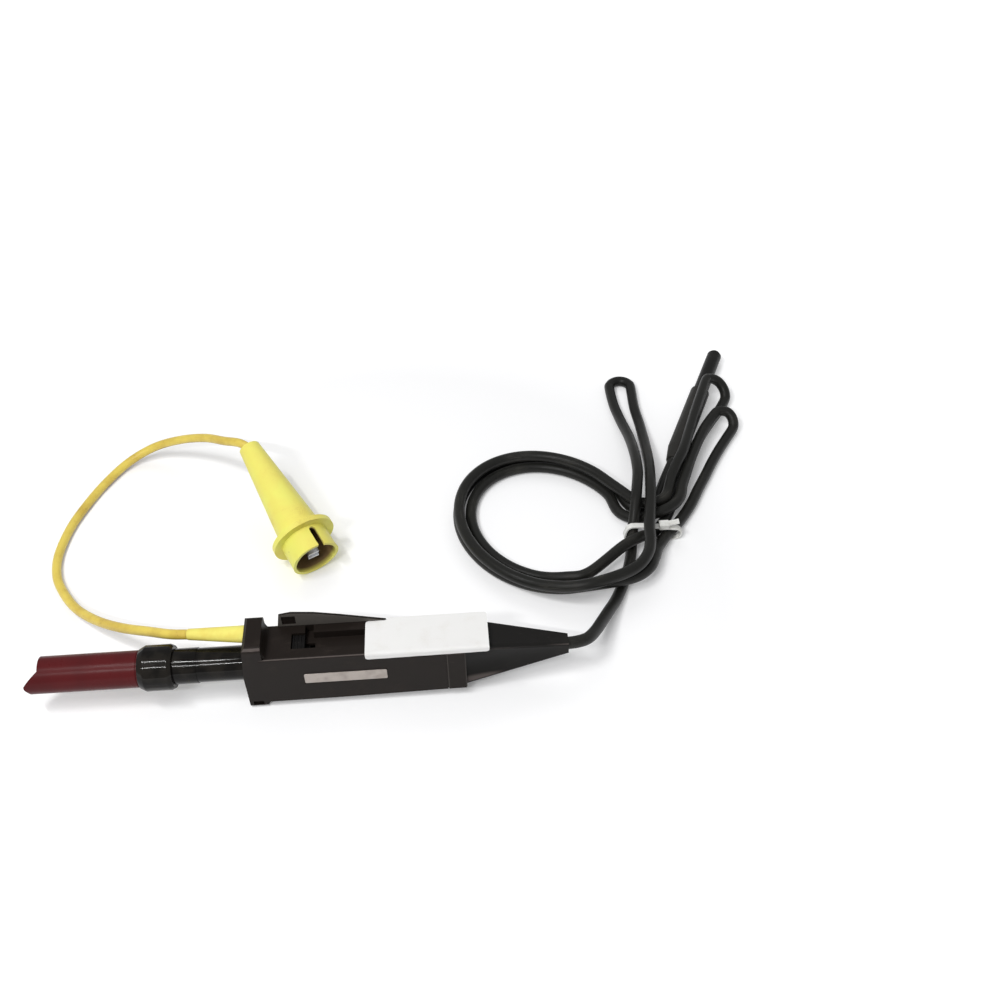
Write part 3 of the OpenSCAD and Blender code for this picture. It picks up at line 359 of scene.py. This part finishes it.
# Casing halves. Two shells moulded in black plastic with a fine spark finish, screwed together from
# the back. The back shell carries the guard fin. Their edges are crisp, as they leave the mould.
def eased(node, name, width, body="probe", steps=2):
    """A moulding with the shape of the CAD node, its edges eased by the width in metres, if any."""
    same_point, same_plane = 2e-6, math.radians(0.6)
    eased_beyond, sharp_beyond = math.radians(32), math.radians(28)
    mesh = bpy.data.meshes.new(name)
    mesh.from_pydata([v.co for v in cad[node].data.vertices], [],
                     [list(p.vertices) for p in cad[node].data.polygons])
    shape = bmesh.new()
    shape.from_mesh(mesh)
    bmesh.ops.remove_doubles(shape, verts=shape.verts, dist=same_point)
    if width:
        bmesh.ops.dissolve_limit(shape, angle_limit=same_plane, verts=shape.verts, edges=shape.edges)
    shape.to_mesh(mesh)
    shape.free()
    for face in mesh.polygons:
        face.use_smooth = True
    raw = bpy.data.objects.new(name + "_raw", mesh)
    bpy.context.scene.collection.objects.link(raw)
    if width:
        ease = raw.modifiers.new("ease", "BEVEL")
        ease.width, ease.segments, ease.limit_method = width, steps, "ANGLE"
        ease.angle_limit, ease.harden_normals = eased_beyond, True
    else:
        mesh.set_sharp_from_angle(angle=sharp_beyond)
    flats = raw.modifiers.new("flats", "WEIGHTED_NORMAL")
    flats.weight, flats.keep_sharp = 100, True
    made = bpy.data.objects.new(name, bpy.data.meshes.new_from_object(
        raw.evaluated_get(bpy.context.evaluated_depsgraph_get())))
    made.data.name = name
    bpy.data.objects.remove(raw)
    bpy.context.scene.collection.objects.link(made)
    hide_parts(node)
    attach(made, body)
    return made


def moulded_black(name, colour, worn, low, high, grain, painted_highlight_mask=None):
    """Black plastic: its colour, the colour of its scuffs, its least and most roughness and its mould
    grain. A painted highlight pales its upper front edges, more where scuffed, and also where the
    given mask on the place says."""
    finish, tone = start_finish(name)
    place = tone.make("TexCoord", out="Object")
    cloud = noise(tone, place, 60.0, 5.0, 0.6)
    spark = noise(tone, place, 3200.0, 2.0)
    brushed = tone.make("Mapping", {"Vector": place, "Scale": (0.12, 1.0, 1.0)})
    rub = noise(tone, brushed, 1400.0, 3.0)
    marks = stepped(tone, rub * 0.75 + cloud * 0.35, 0.66, 0.8)
    dust = stepped(tone, spark * 0.3 + cloud * 0.7, 0.5, 0.72)
    shade = mixed(tone, marks * 0.45 + dust * 0.3, colour, worn)
    facing = tone.make("NewGeometry", out="Normal")
    up = tone.make("SeparateXYZ", {"Vector": facing}, out="Z")
    back = tone.make("SeparateXYZ", {"Vector": facing}, out="Y")
    # Painted highlight: faces turned up and forward, on the upper front edges, are lightened to a pale
    # grey.
    edge = stepped(tone, (up - back) * math.sqrt(0.5), 0.95, 0.985)
    shade = mixed(tone, edge * (0.35 + marks * 0.4), shade, paint(128, 118, 114))
    # Painted highlight: where the given mask says, the colour is lightened to a pale grey.
    if painted_highlight_mask:
        shade = mixed(tone, painted_highlight_mask(tone, place) * (0.75 + dust * 0.25), shade, paint(94, 90, 85))
    bump = raised(tone, spark + rub * 0.25, grain, 0.5)
    coat(tone, shade, low + (high - low) * dust + marks * 0.05, bump, shine=0.12)
    return finish


def fin_face(tone, place):
    """1 on the front face of the fin, above the casing, where a painted highlight lightens it."""
    above_casing = stepped(tone, tone.make("SeparateXYZ", {"Vector": place}, out="Z"), 0.0378, 0.0384)
    behind_face = stepped(tone, tone.make("SeparateXYZ", {"Vector": place}, out="Y"), 0.0100, 0.0102)
    return above_casing * (1 - behind_face)


# The casing's colour, the colour of its scuffs, its least and most roughness and its mould grain
case_look = (paint(30, 25, 22), paint(62, 55, 50), 0.46, 0.62, 0.00006)
case_black = moulded_black("case_black", *case_look)
eased("casing_front", "casing_front_shell", 0).data.materials.append(case_black)
# The fin's front face gets a painted highlight through its mask.
fin_black = moulded_black("fin_black", *case_look, painted_highlight_mask=fin_face)
eased("casing_back", "casing_back_shell", 0).data.materials.append(fin_black)

# Guard flange and end pieces. The flange is a thick black plate that keeps the fingers back. The
# collar closes the shells at the rear, and the long rubber boot carries the cable out of it.
guard = eased("guard_flange", "guard_flange_moulding", 0.0004, steps=3)
guard.data.materials.append(case_black)


def collar_edges(tone, place):
    """1 along the two upright edges at the front of the collar, where painted highlights lighten them.
    """
    x = tone.make("SeparateXYZ", {"Vector": place}, out="X")
    near = 1 - stepped(tone, tone.make("SeparateXYZ", {"Vector": place}, out="Y"), -0.0114, -0.0112)
    first, last = (1 - stepped(tone, tone.sum("ABSOLUTE", x - edge), 0.0001, 0.0004)
                   for edge in (0.0752, 0.0842))
    return (first + last) * near * 0.45


collar = eased("end_collar", "end_collar_moulding", 0.00025)
collar.data.materials.append(moulded_black("collar_black", *case_look, painted_highlight_mask=collar_edges))
boot_rubber = moulded_black("boot_rubber", paint(28, 27, 26), paint(56, 54, 51), 0.46, 0.6, 0.00004)
boot = eased("strain_boot", "strain_boot_moulding", 0.0005, steps=3)
boot.data.materials.append(boot_rubber)
largest_rounded_face = 4e-6  # square metres; the boot's sides are larger, and stay flat
for face in boot.data.polygons:
    face.use_smooth = face.area < largest_rounded_face


# Barrel and neck. Turned black rods of polished plastic between the flange and the ring nut; the
# bayonet spigot of the neck is hidden under the nut.
def dress(finish, *nodes):
    """CAD nodes whose shape is right take their finish."""
    for node in nodes:
        for place in cad[node].material_slots:
            place.material = finish


gloss_black, tone = start_finish("gloss_black")
place = tone.make("TexCoord", out="Object")
cloud = noise(tone, place, 110.0, 4.0)
swell = noise(tone, place, 260.0, 2.0)
fine = noise(tone, place, 2600.0, 2.0)
smear = stepped(tone, cloud, 0.42, 0.68)
shade = mixed(tone, smear * 0.6 + fine * 0.2, paint(14, 13, 12), paint(36, 33, 29))
bump = raised(tone, swell + fine * 0.12, 0.00005, 0.35)
coat(tone, shade, 0.06 + smear * 0.08, bump, shine=0.14)
for node in ("barrel", "neck"):
    eased(node, node + "_turned", 0).data.materials.append(gloss_black)

# Nose tube. A thick tube of dark red plastic, cut to a V mouth that steadies the tip on a terminal.
# An ivory bush inside it guides the contact rod.
maroon, tone = start_finish("maroon_plastic")
place = tone.make("TexCoord", out="Object")
cloud = noise(tone, place, 80.0, 4.0)
fine = noise(tone, place, 2400.0, 2.0)
shade = mixed(tone, stepped(tone, cloud, 0.4, 0.75) * 0.5, paint(84, 28, 30), paint(70, 25, 27))
bump = raised(tone, fine * 0.3 + cloud, 0.00004, 0.3)
coat(tone, shade, 0.2 + cloud * 0.18, bump, shine=0.09)
nose = eased("nose_tube", "nose_tube_moulding", 0.00035, steps=3)
nose.data.materials.append(maroon)

ivory, tone = start_finish("ivory_insulator")
place = tone.make("TexCoord", out="Object")
cloud = noise(tone, place, 300.0, 4.0)
shade = mixed(tone, stepped(tone, cloud, 0.4, 0.7), paint(216, 208, 188), paint(196, 186, 160))
coat(tone, shade, 0.42 + cloud * 0.15)
dress(ivory, "nose_bush")


# Ring nut. A polished black bayonet nut, turned with a chamfer at each end and shallow grip flutes
# all round, that locks the nose tube on the neck.
def turning_tree():
    """Turns an outline about X: each point of the outline gives x and, as z, the radius."""
    tree = bpy.data.node_groups.new("turned_piece", "GeometryNodeTree")
    face = tree.interface
    for name, kind, value in (
            ("Outline", "Geometry", None), ("Steps around", "Int", 144), ("Flutes", "Int", 24),
            ("Flute depth", "Float", 0.0003), ("Flutes from", "Float", -0.08),
            ("Flutes to", "Float", -0.065), ("Fluted beyond radius", "Float", 0.011),
            ("Finish", "Material", None)):
        socket = face.new_socket(name, in_out="INPUT", socket_type="NodeSocket" + kind)
        if value is not None:
            socket.default_value = value
    face.new_socket("Piece", in_out="OUTPUT", socket_type="NodeSocketGeometry")

    def add(kind, sockets=None, **settings):
        made = tree.nodes.new(kind)
        for name, value in settings.items():
            setattr(made, name, value)
        for name, value in (sockets or {}).items():
            if isinstance(value, bpy.types.NodeSocket):
                tree.links.new(value, made.inputs[name])
            else:
                made.inputs[name].default_value = value
        return made

    def sums(operation, *values):
        return add("ShaderNodeMath", dict(enumerate(values)), operation=operation).outputs[0]

    given = add("NodeGroupInput").outputs
    size = add("GeometryNodeAttributeDomainSize", {"Geometry": given["Outline"]}, component="MESH")
    count = size.outputs["Point Count"]
    around = sums("ADD", given["Steps around"], 1)
    grid = add("GeometryNodeMeshGrid", {"Size X": 1.0, "Size Y": 1.0,
                                        "Vertices X": around, "Vertices Y": count})
    spot = add("ShaderNodeSeparateXYZ", {0: add("GeometryNodeInputPosition").outputs[0]}).outputs
    turn = sums("MULTIPLY", sums("ADD", spot["X"], 0.5), 2 * math.pi)
    number = sums("ROUND", sums("MULTIPLY", sums("ADD", spot["Y"], 0.5), sums("SUBTRACT", count, 1)))
    point = add("GeometryNodeSampleIndex", {"Geometry": given["Outline"], "Index": number},
                data_type="FLOAT_VECTOR")
    tree.links.new(add("GeometryNodeInputPosition").outputs[0], point.inputs["Value"])
    outline = add("ShaderNodeSeparateXYZ", {0: point.outputs[0]}).outputs
    ripple = sums("COSINE", sums("MULTIPLY", turn, given["Flutes"]))
    wave = sums("POWER", sums("ADD", sums("MULTIPLY", ripple, 0.5), 0.5), 4.0)
    inside = sums("MULTIPLY", sums("GREATER_THAN", outline["X"], given["Flutes from"]),
                  sums("LESS_THAN", outline["X"], given["Flutes to"]))
    outer = sums("GREATER_THAN", outline["Z"], given["Fluted beyond radius"])
    depth = sums("MULTIPLY", wave, given["Flute depth"])
    cut = sums("MULTIPLY", depth, sums("MULTIPLY", inside, outer))
    radius = sums("SUBTRACT", outline["Z"], cut)
    y, z = sums("MULTIPLY", radius, sums("SINE", turn)), sums("MULTIPLY", radius, sums("COSINE", turn))
    place = add("ShaderNodeCombineXYZ", {"X": outline["X"], "Y": y, "Z": z}).outputs[0]
    moved = add("GeometryNodeSetPosition", {"Geometry": grid.outputs["Mesh"], "Position": place})
    closed = add("GeometryNodeMergeByDistance", {"Geometry": moved.outputs[0],
                                                 "Distance": 1e-6}).outputs[0]
    real = add("GeometryNodeRealizeInstances", {0: closed}).outputs[0]
    dressed = add("GeometryNodeSetMaterial", {"Geometry": real, "Material": given["Finish"]}).outputs[0]
    tree.links.new(dressed, add("NodeGroupOutput").inputs[0])
    return tree


def turned(tree, name, outline, finish, place, **sizes):
    """One turned piece, made by the tree from the outline in millimetres, then put in its place."""
    mesh = bpy.data.meshes.new(name)
    mesh.from_pydata([(x / 1000, 0, r / 1000) for x, r in outline],
                     [(i, i + 1) for i in range(len(outline) - 1)], [])
    raw = bpy.data.objects.new(name + "_outline", mesh)
    bpy.context.scene.collection.objects.link(raw)
    turning = raw.modifiers.new("turning", "NODES")
    turning.node_group = tree
    for socket in tree.interface.items_tree:
        if socket.in_out == "INPUT" and socket.name in sizes:
            turning[socket.identifier] = sizes[socket.name]
        if socket.in_out == "INPUT" and socket.name == "Finish":
            turning[socket.identifier] = finish
    made = bpy.data.objects.new(name, bpy.data.meshes.new_from_object(
        raw.evaluated_get(bpy.context.evaluated_depsgraph_get())))
    bpy.data.objects.remove(raw)
    shape = bmesh.new()
    shape.from_mesh(made.data)
    bmesh.ops.recalc_face_normals(shape, faces=shape.faces)
    shape.to_mesh(made.data)
    shape.free()
    made.data.name = name
    made.data.transform(place)
    for face in made.data.polygons:
        face.use_smooth = True
    made.data.set_sharp_from_angle(angle=math.radians(38))
    bpy.context.scene.collection.objects.link(made)
    return made


def rounded_outline(corners, radius, steps):
    """The closed outline with each corner, given as x and radius, rounded off."""
    points, n = [], len(corners)
    for i, here in enumerate(corners):
        here = Vector(here)
        back, on = Vector(corners[i - 1]) - here, Vector(corners[(i + 1) % n]) - here
        cut = min(radius, back.length * 0.45, on.length * 0.45)
        a, b = here + back.normalized() * cut, here + on.normalized() * cut
        for k in range(steps + 1):
            t = k / steps
            points.append(tuple((1 - t) ** 2 * a + 2 * t * (1 - t) * here + t * t * b))
    return points + [points[0]]


turning = turning_tree()
on_axis = Matrix.Translation((0, 0, 0.0236))
# Along the axis and out from it, in millimetres: the nut's outside from nose to flange, then its bore
nut_radius, nut_bore, flute_step = 11.75, 10.42, 0.35
fluted = [(-77 + flute_step * k, nut_radius) for k in range(33)]
ring = ([(-80.7, 9.6), (-80.7, 10.2), (-77.7, nut_radius)] + fluted
        + [(-65.1, nut_radius), (-63.3, 10.85), (-63.3, nut_bore), (-76.7, nut_bore), (-78.7, 9.62)])
nut = turned(turning, "ring_nut_turned", rounded_outline(ring, 0.3, 3), gloss_black, on_axis,
             **{"Flutes": 24, "Flute depth": 0.00007, "Flutes from": -0.0768, "Flutes to": -0.0662})
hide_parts("ring_nut")
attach(nut, "ring_nut")

# Thumb slide and contact. A ribbed black slide in the channel draws the sprung brass rod back into
# the nose: slide, drive link, rod, needle tip and the steel spring that returns them.
slide_black = moulded_black("slide_black", paint(20, 19, 19), paint(60, 56, 54), 0.5, 0.62, 0.00005)
thumb = eased("thumb_slide", "thumb_slide_moulding", 0.00018, body="slide")
thumb.data.materials.append(slide_black)
dress(slide_black, "drive_link")


def bare_metal(name, colour, tarnish, rough, drawn=(1.0, 1.0, 1.0)):
    """Bare metal with drawing marks and tarnish."""
    finish, tone = start_finish(name)
    place = tone.make("TexCoord", out="Object")
    marks = noise(tone, tone.make("Mapping", {"Vector": place, "Scale": drawn}), 3000.0, 3.0)
    cloud = noise(tone, place, 240.0, 4.0)
    stain = stepped(tone, cloud, 0.45, 0.75)
    bump = raised(tone, marks, 0.00002, 0.3)
    coat(tone, mixed(tone, stain * 0.7, colour, tarnish), rough + stain * 0.18 + marks * 0.08,
         bump, metallic=1.0)
    return finish


brass = bare_metal("contact_brass", paint(214, 186, 116), paint(150, 116, 62), 0.24, (0.1, 1.0, 1.0))
spring_wire = bare_metal("spring_wire", paint(176, 178, 182), paint(120, 116, 110), 0.28)
dress(brass, "contact_rod", "contact_tip")
dress(spring_wire, "return_spring")

# Divider. A small glass-fibre board in the casing carries the two film resistors and the trimmer
# that divide the signal; three steel screws and a clamp hold the shells and the cable.
board, tone = start_finish("board_laminate")
place = tone.make("TexCoord", out="Object")
weave = tone.make("TexWave", {"Vector": place, "Scale": 900.0, "Distortion": 0.6}, out=1)
cloud = noise(tone, place, 200.0, 3.0)
shade = mixed(tone, stepped(tone, weave * 0.6 + cloud * 0.4, 0.3, 0.8),
              paint(46, 84, 52), paint(66, 108, 66))
coat(tone, shade, 0.3 + cloud * 0.15, raised(tone, weave, 0.00003, 0.3))
dress(board, "divider_board")

resistor, tone = start_finish("resistor_coat")
place = tone.make("TexCoord", out="Object")
reach = tone.make("SeparateXYZ", {"Vector": place}, out="X")
band = tone.make("Math", {0: (reach - 0.0455) * 300.0}, operation="FRACT")
cloud = noise(tone, place, 500.0, 3.0)
lacquer = mixed(tone, cloud, paint(168, 92, 66), paint(186, 110, 78))
shade = mixed(tone, stepped(tone, band, 0.7, 0.72), lacquer, paint(70, 42, 34))
coat(tone, shade, 0.3 + cloud * 0.12)
dress(resistor, "divider_resistors")
dress(ivory, "trim_capacitor")
screw_steel = bare_metal("screw_steel", paint(150, 152, 156), paint(96, 90, 84), 0.3)
dress(screw_steel, "case_screws", "cable_clamp")
dress(rubber, "cable_inner")

# Rating plate and sticker. A bare foil plate with a brushed face is set on the front shell. A blank
# paper sticker is pressed over the top, folds down the front edge and lifts a little at its corners.
foil, tone = start_finish("plate_foil")
place = tone.make("TexCoord", out="Object")
brushing = noise(tone, tone.make("Mapping", {"Vector": place, "Scale": (0.03, 1.0, 1.0)}), 5000.0, 3.0)
cloud = noise(tone, place, 160.0, 5.0)
worn = stepped(tone, cloud, 0.4, 0.75)
shade = mixed(tone, brushing * 0.5 + worn * 0.4, paint(186, 177, 170), paint(138, 129, 122))
coat(tone, shade, 0.36 + worn * 0.2, raised(tone, brushing, 0.00002, 0.3), metallic=0.55)
plate = eased("rating_plate", "rating_plate_foil", 0.00008)
plate.data.materials.append(foil)

paper, tone = start_finish("sticker_paper")
place = tone.make("TexCoord", out="Object")
fibre = noise(tone, place, 1500.0, 5.0, 0.7)
cloud = noise(tone, place, 90.0, 4.0)
soil = stepped(tone, cloud * 0.7 + fibre * 0.3, 0.52, 0.75)
shade = mixed(tone, soil * 0.5, (0.80, 0.795, 0.78, 1), (0.71, 0.69, 0.65, 1))
coat(tone, shade, 0.6 + fibre * 0.2, raised(tone, fibre, 0.00004, 0.4), shine=0.3)

# The paper laid flat, in millimetres: along the casing, and across it from its front edge, with the
# top of the casing on the positive side and its front on the negative side
paper_corners = [(34.4, -3.6), (96.6, -3.0), (96.4, 22.7), (45.4, 22.8), (45.2, 21.1), (34.5, 21.0)]
paper_edge = rounded_outline(paper_corners, 1.9, 7)[:-1]
mesh = bpy.data.meshes.new("sticker")
sheet = bmesh.new()
sheet.faces.new([sheet.verts.new((x, s, 0)) for x, s in paper_edge])
round_the_fold = [-2.6, -1.6, -1.0, -0.7, -0.4, -0.1, 0.2, 0.5, 0.8, 1.2]
for axis, cuts in ((0, [34.4 + 1.6 * k for k in range(1, 39)]),
                   (1, round_the_fold + [1.2 + 1.8 * k for k in range(1, 12)])):
    for cut in cuts:
        middle, across = [0, 0, 0], [0, 0, 0]
        middle[axis], across[axis] = cut, 1
        bmesh.ops.bisect_plane(sheet, geom=sheet.verts[:] + sheet.edges[:] + sheet.faces[:],
                               plane_co=middle, plane_no=across, dist=1e-6)
edge_round, front, top = 1.2, -11.4, 37.7
least_lift, ripple = 0.04, 0.10
arc = math.pi / 2 * edge_round
for v in sheet.verts:
    x, s = v.co.x, v.co.y
    lift = least_lift + ripple * math.sin(x * 0.31) ** 2 * math.cos(s * 0.2) ** 2
    wide = edge_round + lift
    t = (s + arc / 2) / arc
    if t >= 1:
        y, z = front + edge_round + (t - 1) * arc, top + lift
    elif t <= 0:
        y, z = front - lift, top - edge_round + t * arc
    else:
        turn = t * math.pi / 2
        y, z = front + edge_round - wide * math.cos(turn), top - edge_round + wide * math.sin(turn)
    v.co = (x / 1000, y / 1000, z / 1000)
bmesh.ops.triangulate(sheet, faces=[f for f in sheet.faces if len(f.verts) > 4])
bmesh.ops.recalc_face_normals(sheet, faces=sheet.faces)
sheet.to_mesh(mesh)
sheet.free()
raw = bpy.data.objects.new("sticker_raw", mesh)
bpy.context.scene.collection.objects.link(raw)
thick = raw.modifiers.new("paper", "SOLIDIFY")
thick.thickness, thick.offset = 0.00016, 1.0
for face in mesh.polygons:
    face.use_smooth = True
sticker = bpy.data.objects.new("sticker_paper", bpy.data.meshes.new_from_object(
    raw.evaluated_get(bpy.context.evaluated_depsgraph_get())))
bpy.data.objects.remove(raw)
sticker.data.set_sharp_from_angle(angle=math.radians(50))
sticker.data.materials.append(paper)
bpy.context.scene.collection.objects.link(sticker)
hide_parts("sticker_label")
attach(sticker, "probe")


# Common lead fittings. A soft yellow vinyl sleeve carries the lead into the flange, on a brass pin.
# The clip is one yellow vinyl moulding: a tapered grip, a round stop flange and a slotted, wavy nose.
def yellow_vinyl(name, light, warm, grime):
    """Soft yellow vinyl gone a little orange, with dark specks in it and painted brown shade in its
    bore.
    """
    finish, tone = start_finish(name)
    place = tone.make("TexCoord", out="Object")
    cloud = noise(tone, place, 38.0, 4.0, 0.55)
    fine = noise(tone, place, 1500.0, 3.0)
    dots = tone.make("TexVoronoi", {"Vector": place, "Scale": 95.0})
    speck = 1 - stepped(tone, dots, 0.02, 0.05)
    rub = stepped(tone, cloud * 0.7 + fine * 0.3, 0.55, 0.72)
    shade = mixed(tone, stepped(tone, cloud, 0.35, 0.65), light, warm)
    shade = mixed(tone, rub * grime, shade, paint(190, 158, 74))
    shade = mixed(tone, speck * 0.75, shade, paint(104, 92, 52))
    # Painted shade: the bore, marked by the attribute "inside", is darkened to brown.
    bore_shade = tone.make("Attribute", {}, out="Fac", attribute_name="inside")
    shade = mixed(tone, bore_shade * (0.92 + 0.08 * rub), shade, paint(104, 74, 60))
    bump = raised(tone, fine * 0.3 + cloud, 0.00012, 0.35)
    coat(tone, shade, 0.42 + rub * 0.2, bump, shine=0.35)
    return finish


clip_yellow = yellow_vinyl("clip_yellow", paint(234, 232, 112), paint(234, 222, 108), 0.3)
sleeve_yellow = yellow_vinyl("sleeve_yellow", paint(236, 230, 120), paint(226, 202, 92), 0.5)
sleeve = eased("lead_sleeve", "lead_sleeve_moulding", 0.0003, steps=3)
sleeve.data.materials.append(sleeve_yellow)
dress(brass, "lead_lug")

clip = eased("clip_housing", "clip_housing_moulding", 0.0006, steps=3)
clip.data.materials.append(clip_yellow)
clip_frame = (Matrix.Translation((-0.03611, 0.15022, 0.0373))
              @ Matrix.Rotation(clip_heading, 4, "Z") @ Matrix.Rotation(clip_dip, 4, "Y"))
# Sizes along the clip, then out from its axis, then of the painted shade in its bore and of its worn
# rim, in metres
stop_x, rim_x = 0.069, 0.0845
cone_end = stop_x - 0.0015
nose_wall, nose_radius, cone_radius, cone_slope = 0.00175, 0.01375, 0.0063, 0.1
rings_behind_rim, unshaded_lip, bore_shade_fades = (0.003, 0.0015), 0.0004, 0.002
rim_waves, first_wave, rim_flare, waved_end, flare_grows = 3, 0.6, 0.04, 0.0025, 0.002
shape = bmesh.new()
shape.from_mesh(clip.data)
for back in rings_behind_rim:
    bmesh.ops.bisect_plane(shape, geom=shape.verts[:] + shape.edges[:] + shape.faces[:], dist=1e-6,
                           plane_co=clip_frame @ Vector((rim_x - back, 0, 0)),
                           plane_no=clip_frame.to_3x3() @ Vector((1, 0, 0)))
shape.to_mesh(clip.data)
shape.free()
# The attribute "inside" marks the bore for painted shade, fading out before the rim.
inside = clip.data.attributes.new("inside", "FLOAT", "POINT")
for v, share in zip(clip.data.vertices, inside.data):
    at = clip_frame.inverted() @ v.co
    outer = cone_radius + cone_slope * at.x if at.x < cone_end else nose_radius
    in_bore = math.hypot(at.y, at.z) < outer - 0.7 * nose_wall
    share.value = min(max((rim_x - unshaded_lip - at.x) / bore_shade_fades, 0), 1) if in_bore else 0.0
    if at.x > rim_x - waved_end:
        wave = 0.5 + 0.5 * math.cos(rim_waves * math.atan2(at.z, at.y) + first_wave)
        flare = 1 + rim_flare * wave * min((at.x - rim_x + waved_end) / flare_grows, 1)
        v.co = clip_frame @ Vector((at.x, at.y * flare, at.z * flare))
jaw_steel = bare_metal("jaw_steel", paint(206, 208, 212), paint(140, 130, 118), 0.22)
dress(jaw_steel, "fixed_jaw", "moving_jaw", "jaw_pin")
dress(spring_wire, "jaw_spring")
float(np.linalg.norm(np.diff(lead_line, axis=0), axis=1).sum())

# Cable tie. A strap moulded in white nylon, drawn tight round all the strands where the loops cross.
# Its own toothed head holds it.
nylon, tone = start_finish("white_nylon")
place = tone.make("TexCoord", out="Object")
fine = noise(tone, place, 1800.0, 3.0)
cloud = noise(tone, place, 200.0, 3.0)
shade = mixed(tone, stepped(tone, cloud, 0.4, 0.7) * 0.5, paint(228, 228, 224), paint(196, 194, 186))
coat(tone, shade, 0.32 + cloud * 0.2, raised(tone, fine, 0.00004, 0.3))
tie = eased("cable_tie", "cable_tie_strap", 0.0002)
tie.data.materials.append(nylon)

# Shrouded plug. A dark grip at the end of the cable, with a sprung sheath that slides back over the
# brass pin as it goes into its socket.
plug_black = moulded_black("plug_black", paint(46, 45, 43), paint(80, 77, 72), 0.44, 0.58, 0.00005)
sheath_grey = moulded_black("sheath_grey", paint(28, 28, 27), paint(56, 55, 53), 0.42, 0.55, 0.00005)
grip = eased("plug_grip", "plug_grip_moulding", 0.0004, steps=3)
grip.data.materials.append(plug_black)
sheath = eased("plug_sheath", "plug_sheath_moulding", 0.0003, body="sheath",
               steps=3)
sheath.data.materials.append(sheath_grey)
dress(brass, "plug_pin")
dress(spring_wire, "plug_spring")
float(np.linalg.norm(np.diff(cable_line, axis=0), axis=1).sum())
